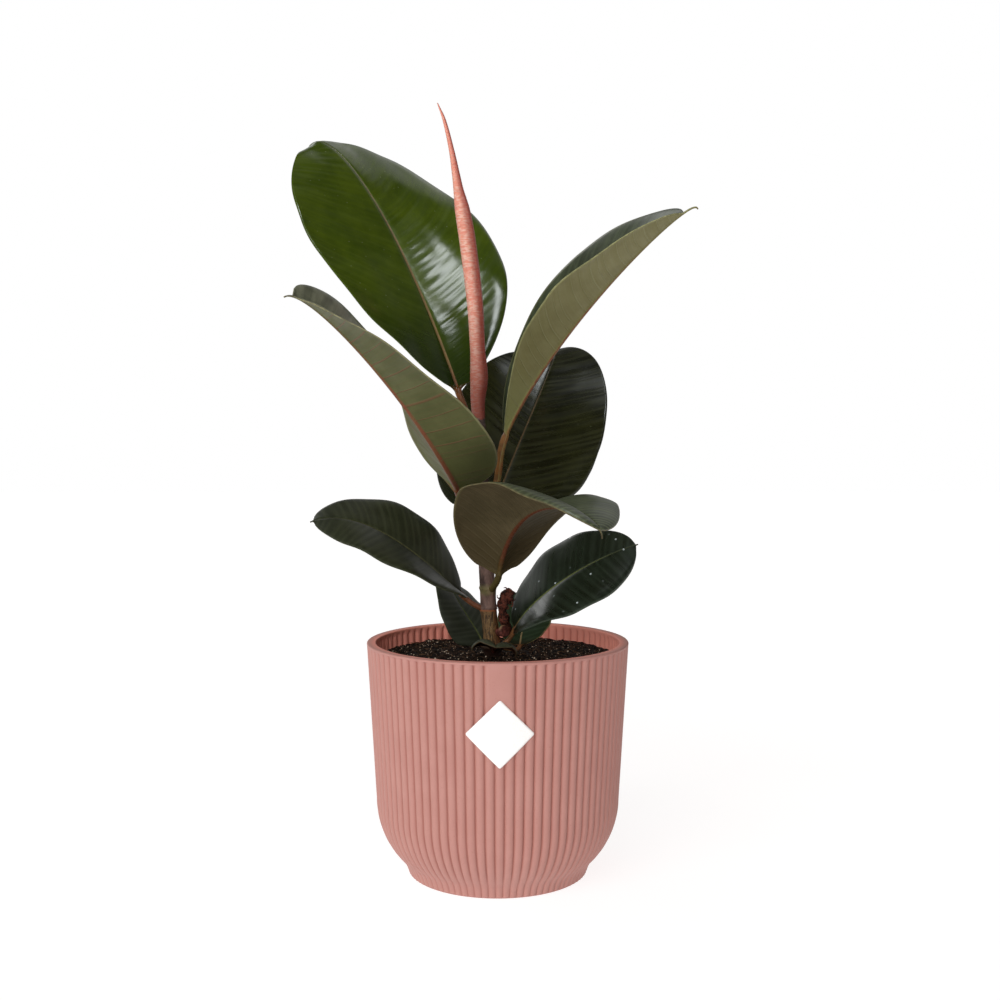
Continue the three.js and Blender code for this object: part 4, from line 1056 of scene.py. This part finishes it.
dried = {
    "path": ((5.4, 2, 126.6), (3.6, -1, 134), (2.6, -2.2, 139.5), (3.4, -2.4, 144.5), (5.7, -2.2, 147.6),
             (7.7, -1.8, 149.8)),
    "radii": (2.6, 3.1, 2.3, 4.2, 3.9, 2.0), "crumple": 0.36, "crease": 0.22, "moreScraps": 14, "seed": 5,
    # loose scraps: foot, length, heading in the picture's plane in degrees, how far they curl round, width
    "scraps": ((1.6, -3.2, 146.2, 4.6, 96, -2.6, 1.5), (3.4, -3.6, 147.4, 6.4, 30, 3.4, 2.2),
               (5.6, -4.2, 146, 5.4, 150, 3.0, 2.6), (1.2, -3.6, 143.5, 4.4, 200, 2.4, 1.8),
               (6.4, -3, 145, 5, -30, -2.8, 2.4), (3.4, -4.6, 141, 5, 260, 2.2, 2.0)),
    "scrapWidth": 1.7, "scrapHalf": 0.14,
    # dark is the shoot's dark brown deepened as painted shade, pale is a painted highlight, brown is its own
    # colour
    "dark": tone(30, 13, 9), "brown": tone(96, 48, 34), "pale": tone(142, 86, 64),
}


def driedFinish():
    material, tree = newFinish("driedShoot", Roughness=0.75)
    place = objectPlace(tree)
    crumple = cloud(tree, place, 420, 5, 0.65, 0.8)
    creases = cloud(tree, stretched(tree, place, 1, 1, 0.3), 1100, 3, 0.6)
    # the crumple noise also raises the bumps, so the dark tone lies in their hollows as painted shade; the
    # pale tone sits on the raised creases as a painted highlight
    colour = painted(tree, dried["dark"], (crumple, 0.38, 0.62, dried["brown"]),
                     (creases, 0.6, 0.75, 0.0, 0.6, dried["pale"]))
    normal = relief(tree, (crumple, 1.0, 0.0016), (creases, 0.5, 0.0004))
    return wired(material, Base_Color=colour, Normal=normal)


def driedCore():
    path = [Vector(p) for p in dried["path"]]
    sides, rows = 22, 60
    points = []
    for i in range(rows + 1):
        spot = i / rows * (len(path) - 1)
        k = min(len(path) - 2, int(spot))
        t = spot - k
        before, after = path[max(0, k - 1)], path[min(len(path) - 1, k + 2)]
        a, b = path[k], path[k + 1]
        centre = 0.5 * (2 * a + (b - before) * t + (2 * before - 5 * a + 4 * b - after) * t * t
                        + (3 * a - before - 3 * b + after) * t ** 3)
        radius = mix(dried["radii"][k], dried["radii"][k + 1], t)
        tilt = (b - a).normalized()
        across = tilt.cross(Vector((0, 1, 0.3))).normalized()
        other = tilt.cross(across)
        for _, cosine, sine in circle(sides):
            lumps = waver(cosine * 1.6, sine * 1.6, i * 0.16)
            creases = waver(cosine * 4, sine * 4, i * 0.5)
            reach = radius * (0.85 + dried["crumple"] * lumps + dried["crease"] * creases)
            points.append((centre + across * (reach * cosine) + other * (reach * sine)) * mm)
    return points, tubeFaces(points, rows + 1, sides)


def allScraps():
    # the listed scraps, and more of them strewn over the head of the shoot
    draw = random.Random(dried["seed"])
    scraps = list(dried["scraps"])
    for _ in range(dried["moreScraps"]):
        turn = draw.uniform(0, 2 * pi)
        foot = (4.6 + 2.6 * cos(turn), draw.uniform(-5, -0.5), 145.6 + 2.8 * sin(turn))
        length = draw.uniform(2.5, 4.5)
        heading = degrees(turn) + draw.uniform(-50, 50)
        curled = draw.choice((-1, 1)) * draw.uniform(2, 4.2)
        scraps.append((*foot, length, heading, curled, dried["scrapWidth"]))
    return scraps


def addScrap(points, scrap):
    # a thin strip that curls up as it goes
    x, y, z, length, heading, curled, broad = scrap
    strips, lanes = 16, 7
    first = len(points)
    for half in (dried["scrapHalf"], -dried["scrapHalf"]):
        spine, turn = Vector((x, y, z)), radians(heading)
        for i in range(strips + 1):
            s = i / strips
            out = Vector((cos(turn), -0.15, sin(turn))).normalized()
            up = Vector((-sin(turn), 0, cos(turn)))
            for j in range(lanes):
                w = (j / (lanes - 1) - 0.5) * broad * sin(pi * clamp(0.2 + 0.74 * s))
                lift = 0.3 * waver(s * 4, w, x) + half + 0.18 * w * w
                points.append((spine + Vector((0, w, 0.2 * w)) + up * lift) * mm)
            spine = spine + out * (length / strips)
            turn += curled * (0.4 + 1.2 * s) / strips
    return sheetFaces(strips, lanes, first + (strips + 1) * lanes, first, corner=1)


def makeDried():
    points, faces = driedCore()
    for scrap in allScraps():
        faces += addScrap(points, scrap)
    finishPiece(meshPiece("dried_side_shoot", points, faces, [driedFinish()]), "dried", "dried_shoot")


makeDried()
print("dried shoot made")


# the soil, with crumbs, fibres and pale grains on it

soil = {
    "level": stem["soilLevel"], "mound": 0.6, "bumps": 0.9, "edge": 0.6, "holeX": -3.0, "holeRadius": 5.4,
    "seed": 11, "crumbs": 4200, "crumbSizes": (0.25, 1.05), "grains": 900, "grainSizes": (0.2, 0.5),
    "fibres": 260, "lumpGap": 1.6, "fibreGap": 1.2,
    # each with its dark and its light tone
    "ground": (tone(12, 8, 6), tone(38, 27, 21)), "crumb": (tone(9, 6, 5), tone(76, 58, 46)),
    "grain": (tone(140, 116, 94), tone(236, 222, 200)), "fibre": (tone(74, 52, 36), tone(126, 98, 70)),
    "fleck": tone(150, 124, 96),
}


def soilTop(x, y):
    spot = Vector((x, y, 0))
    height = soil["level"] + soil["mound"] * (1 - hypot(x, y) / pot["rimRadius"])
    height += soil["bumps"] * noise.noise(spot * 0.06 + Vector((3, 1, 0)))
    return height + 0.7 * noise.noise(spot * 0.22) + 0.35 * noise.noise(spot * 0.8)


def soilFinish(name, dark, light, flecks):
    material, tree = newFinish(name, Roughness=0.95, Specular_IOR_Level=0.25)
    place = objectPlace(tree)
    clods = cloud(tree, place, 260, 6, 0.7)
    specks = cloud(tree, place, 1400, 3, 0.6)
    colour = painted(tree, dark, (clods, 0.4, 0.7, light), (specks, 0.66, 0.76, 0.0, flecks, soil["fleck"]))
    return wired(material, Base_Color=colour, Normal=relief(tree, (clods, 1.0, 0.0016)))


def makeSoil():
    sides, rows = 220, 70
    outer = innerWall(soil["level"]) - soil["edge"]
    points = []
    for i in range(rows + 1):
        radius = mix(1.0, outer, i / rows)
        for _, cosine, sine in circle(sides):
            x, y = radius * cosine + soil["holeX"] * (1 - i / rows), radius * sine
            points.append(Vector((x, y, soilTop(x, y))) * mm)
    for radius, z in ((outer, 108), (innerWall(40) - 1, 40), (pot["floorRadius"] - 1, pot["floor"] + 0.4)):
        points += [Vector((radius * cosine, radius * sine, z)) * mm for _, cosine, sine in circle(sides)]
    faces = [face[::-1] for face in tubeFaces(points, rows + 4, sides)]
    ground = soilFinish("pottingSoil", *soil["ground"], 0.9)
    finishPiece(meshPiece("potting_soil", points, faces, [ground]), "soil", "soil")


def onSoil(draw):
    outer = innerWall(soil["level"]) - soil["lumpGap"]
    while True:
        x, y = draw.uniform(-outer, outer), draw.uniform(-outer, outer)
        if hypot(x, y) < outer and hypot(x - soil["holeX"], y) > soil["holeRadius"]:
            return x, y


def lumpShape():
    # a twisted eight-cornered lump with a point above and below
    corners = []
    for up in (-1, 1):
        for k in range(4):
            turn = pi / 2 * k + up * 0.39
            corners.append(Vector((cos(turn), sin(turn), up * 0.55)))
    faces = []
    for k in range(4):
        n = (k + 1) % 4
        faces += [(k, n, 4 + k), (n, 4 + n, 4 + k), (n, k, 8), (4 + k, 4 + n, 9)]
    return corners + [Vector((0, 0, -1)), Vector((0, 0, 1))], faces


def scatterLumps(name, count, sizes, material, draw, flat):
    lumpCorners, lumpFaces = lumpShape()
    points, faces = [], []
    for _ in range(count):
        x, y = onSoil(draw)
        size = mix(*sizes, draw.random() ** 2.6)
        centre = Vector((x, y, soilTop(x, y) + size * 0.25))
        spin = draw.uniform(0, 6.28)
        first = len(points)
        for corner in lumpCorners:
            jitter = corner * draw.uniform(0.7, 1.25) * size
            turned = Vector((jitter.x * cos(spin) - jitter.y * sin(spin),
                             jitter.x * sin(spin) + jitter.y * cos(spin), jitter.z * flat))
            points.append((centre + turned) * mm)
        faces += [tuple(first + i for i in face) for face in lumpFaces]
    finishPiece(meshPiece(name, points, faces, [material]), "soil")


def addFibre(points, draw):
    # a thin bent thread, three-sided, that lies on the soil and stays inside the pot
    x, y = onSoil(draw)
    length, thick = draw.uniform(2.5, 8), draw.uniform(0.09, 0.2)
    heading, bend = draw.uniform(0, 6.28), draw.uniform(-1.2, 1.2)
    limit = innerWall(soil["level"]) - soil["fibreGap"]
    steps, first = 6, len(points)
    for i in range(steps + 1):
        s = i / steps
        angle = heading + bend * s
        px, py = x + length * s * cos(angle), y + length * s * sin(angle)
        shrink = min(1, limit / hypot(px, py))
        px, py = px * shrink, py * shrink
        centre = Vector((px, py, soilTop(px, py) + 0.35 + 0.5 * sin(pi * s)))
        side = Vector((-sin(angle), cos(angle), 0))
        radius = thick * (1 - 0.6 * s)
        for turn in (0, 2.09, 4.19):
            points.append((centre + side * (radius * cos(turn)) + Vector((0, 0, radius * sin(turn)))) * mm)
    ends = [(first + 2, first + 1, first), tuple(first + 3 * steps + k for k in (0, 1, 2))]
    return loftFaces(steps + 1, 3, True, first) + ends


def makeFibres(draw):
    points, faces = [], []
    for _ in range(soil["fibres"]):
        faces += addFibre(points, draw)
    fibre = soilFinish("fibres", *soil["fibre"], 0.3)
    finishPiece(meshPiece("soil_fibres", points, faces, [fibre]), "soil")


makeSoil()
soilDraw = random.Random(soil["seed"])
crumb = soilFinish("crumbs", *soil["crumb"], 0.9)
scatterLumps("soil_crumbs", soil["crumbs"], soil["crumbSizes"], crumb, soilDraw, 0.7)
grain = soilFinish("paleGrains", *soil["grain"], 0.2)
scatterLumps("soil_grains", soil["grains"], soil["grainSizes"], grain, soilDraw, 0.9)
makeFibres(soilDraw)
print("soil made")


# floor, lights and camera

studio = {
    "floor": 8.0, "floorDrop": 0.0002, "floorColour": (0.36, 0.36, 0.36, 1),
    "floorTint": (0.38, 0.38, 0.38, 1), "floorGlow": 0.79, "backdrop": 1.0,
    # the room is dimmer and warmer on the right
    "ambientLeft": (0.47, 0.46, 0.45, 1), "ambientRight": (0.19, 0.12, 0.105, 1),
    # what the shiny leaves mirror: a dim room, and the pale backdrop low down behind them
    "room": 0.03, "screen": 0.4,
    # soft reflectors: towards, cosines where each fades out and is full, strength
    "reflectors": (((0.28, 0.65, 0.71), 0.93, 0.985, 0.42), ((-0.52, 0.66, 0.54), 0.93, 0.98, 1.3),
                   ((0.88, -0.35, 0.3), 0.92, 0.99, 0.8), ((-0.83, 0, 0.55), 0.93, 0.99, 0.25)),
    # both suns: degrees round from straight ahead of the camera, degrees up, width; then their strengths
    "sun": (-28, 28, 48), "key": 0.95, "fill": 1.3,
    # softbox: place, aims at, width, height, spin in degrees, watts, colour
    "softbox": ((0.18, -0.3, 1.27), (-0.04, 0.04, 0.31), 0.6, 0.2, 29, 4.2, (0.93, 0.97, 1)),
    "cameraPlace": (1.2, -700, 237), "pitch": 0.0563, "lens": 47.8,
}


def makeFloor():
    half, low = studio["floor"] / 2, -studio["floorDrop"]
    corners = [(-half, -half, low), (half, -half, low), (half, half, low), (-half, half, low)]
    material, tree = newFinish("paleFloor", Roughness=0.9, Specular_IOR_Level=0.1,
                               Emission_Color=(1, 1, 1, 1), Emission_Strength=studio["floorGlow"])
    tint = blend(tree, cloud(tree, objectPlace(tree), 3, 2), studio["floorColour"], studio["floorTint"])
    meshPiece("floor", corners, [(0, 1, 2, 3)], [wired(material, Base_Color=tint)])


def addLight(name, kind):
    lamp = bpy.data.lights.new(name, kind)
    holder = bpy.data.objects.new(name, lamp)
    scene.collection.objects.link(holder)
    return lamp, holder


def makeLights():
    # a key and a fill from the same side; the fill, like light from all round, casts no shadow
    around, lift, spread = studio["sun"]
    for name in ("key", "fill"):
        sun, holder = addLight(name, "SUN")
        sun.energy = studio[name]
        sun.angle = radians(spread)
        sun.use_shadow = name == "key"
        holder.rotation_euler = (radians(90 - lift), 0, radians(around))
        holder.visible_glossy = False
    place, aim, width, height, spin, watts, colour = studio["softbox"]
    lamp, holder = addLight("softbox", "AREA")
    lamp.shape = "RECTANGLE"
    lamp.size, lamp.size_y = width, height
    lamp.energy = watts
    lamp.color = colour
    holder.location = place
    facing = (Vector(aim) - Vector(place)).to_track_quat("-Z", "Y")
    holder.rotation_euler = (facing @ Quaternion((0, 0, 1), radians(spin))).to_euler()
    holder.visible_diffuse = False


def mirroredGlow(tree, towards, heading):
    # how bright the room looks in the shiny leaves, direction by direction
    low = remap(tree, heading[2], 0.45, 0.72, studio["screen"], 0.0)
    behind = remap(tree, heading[1], -0.1, 0.25)
    glow = calc(tree, "MULTIPLY_ADD", low, behind, studio["room"])
    for aim, fade, full, strength in studio["reflectors"]:
        sockets = {0: towards, 1: Vector(aim).normalized()}
        facing = add(tree, "VectorMath", sockets, operation="DOT_PRODUCT").outputs["Value"]
        glow = calc(tree, "ADD", glow, remap(tree, facing, fade, full, 0.0, strength))
    return glow


def makeWorld():
    world = bpy.data.worlds.new("studio")
    world.use_nodes = True
    scene.world = world
    tree = world.node_tree
    ambient = tree.nodes["Background"]
    towards = add(tree, "TexCoord").outputs["Generated"]
    heading = axes(tree, towards)
    sideways = remap(tree, heading[0], -0.8, 0.8)
    tree.links.new(blend(tree, sideways, studio["ambientLeft"], studio["ambientRight"]), ambient.inputs[0])
    mirrored = add(tree, "Background", {0: (1, 1, 1, 1), 1: mirroredGlow(tree, towards, heading)})
    backdrop = add(tree, "Background", {0: (1, 1, 1, 1), 1: studio["backdrop"]})
    ray = add(tree, "LightPath").outputs
    lit = add(tree, "MixShader", {0: ray["Is Glossy Ray"], 1: ambient.outputs[0], 2: mirrored.outputs[0]})
    both = add(tree, "MixShader", {0: ray["Is Camera Ray"], 1: lit.outputs[0], 2: backdrop.outputs[0]})
    tree.links.new(both.outputs[0], tree.nodes["World Output"].inputs[0])
    scene.view_settings.view_transform = "Standard"


def makeCamera():
    camera = bpy.data.objects.new("camera", bpy.data.cameras.new("camera"))
    camera.data.lens = studio["lens"]
    camera.data.sensor_width = 36
    camera.data.clip_start = 0.01
    camera.location = Vector(studio["cameraPlace"]) * mm
    camera.rotation_euler = (pi / 2 - studio["pitch"], 0, 0)
    scene.collection.objects.link(camera)
    scene.camera = camera


makeFloor()
makeLights()
makeWorld()
makeCamera()
print("studio made")

bpy.context.view_layer.update()
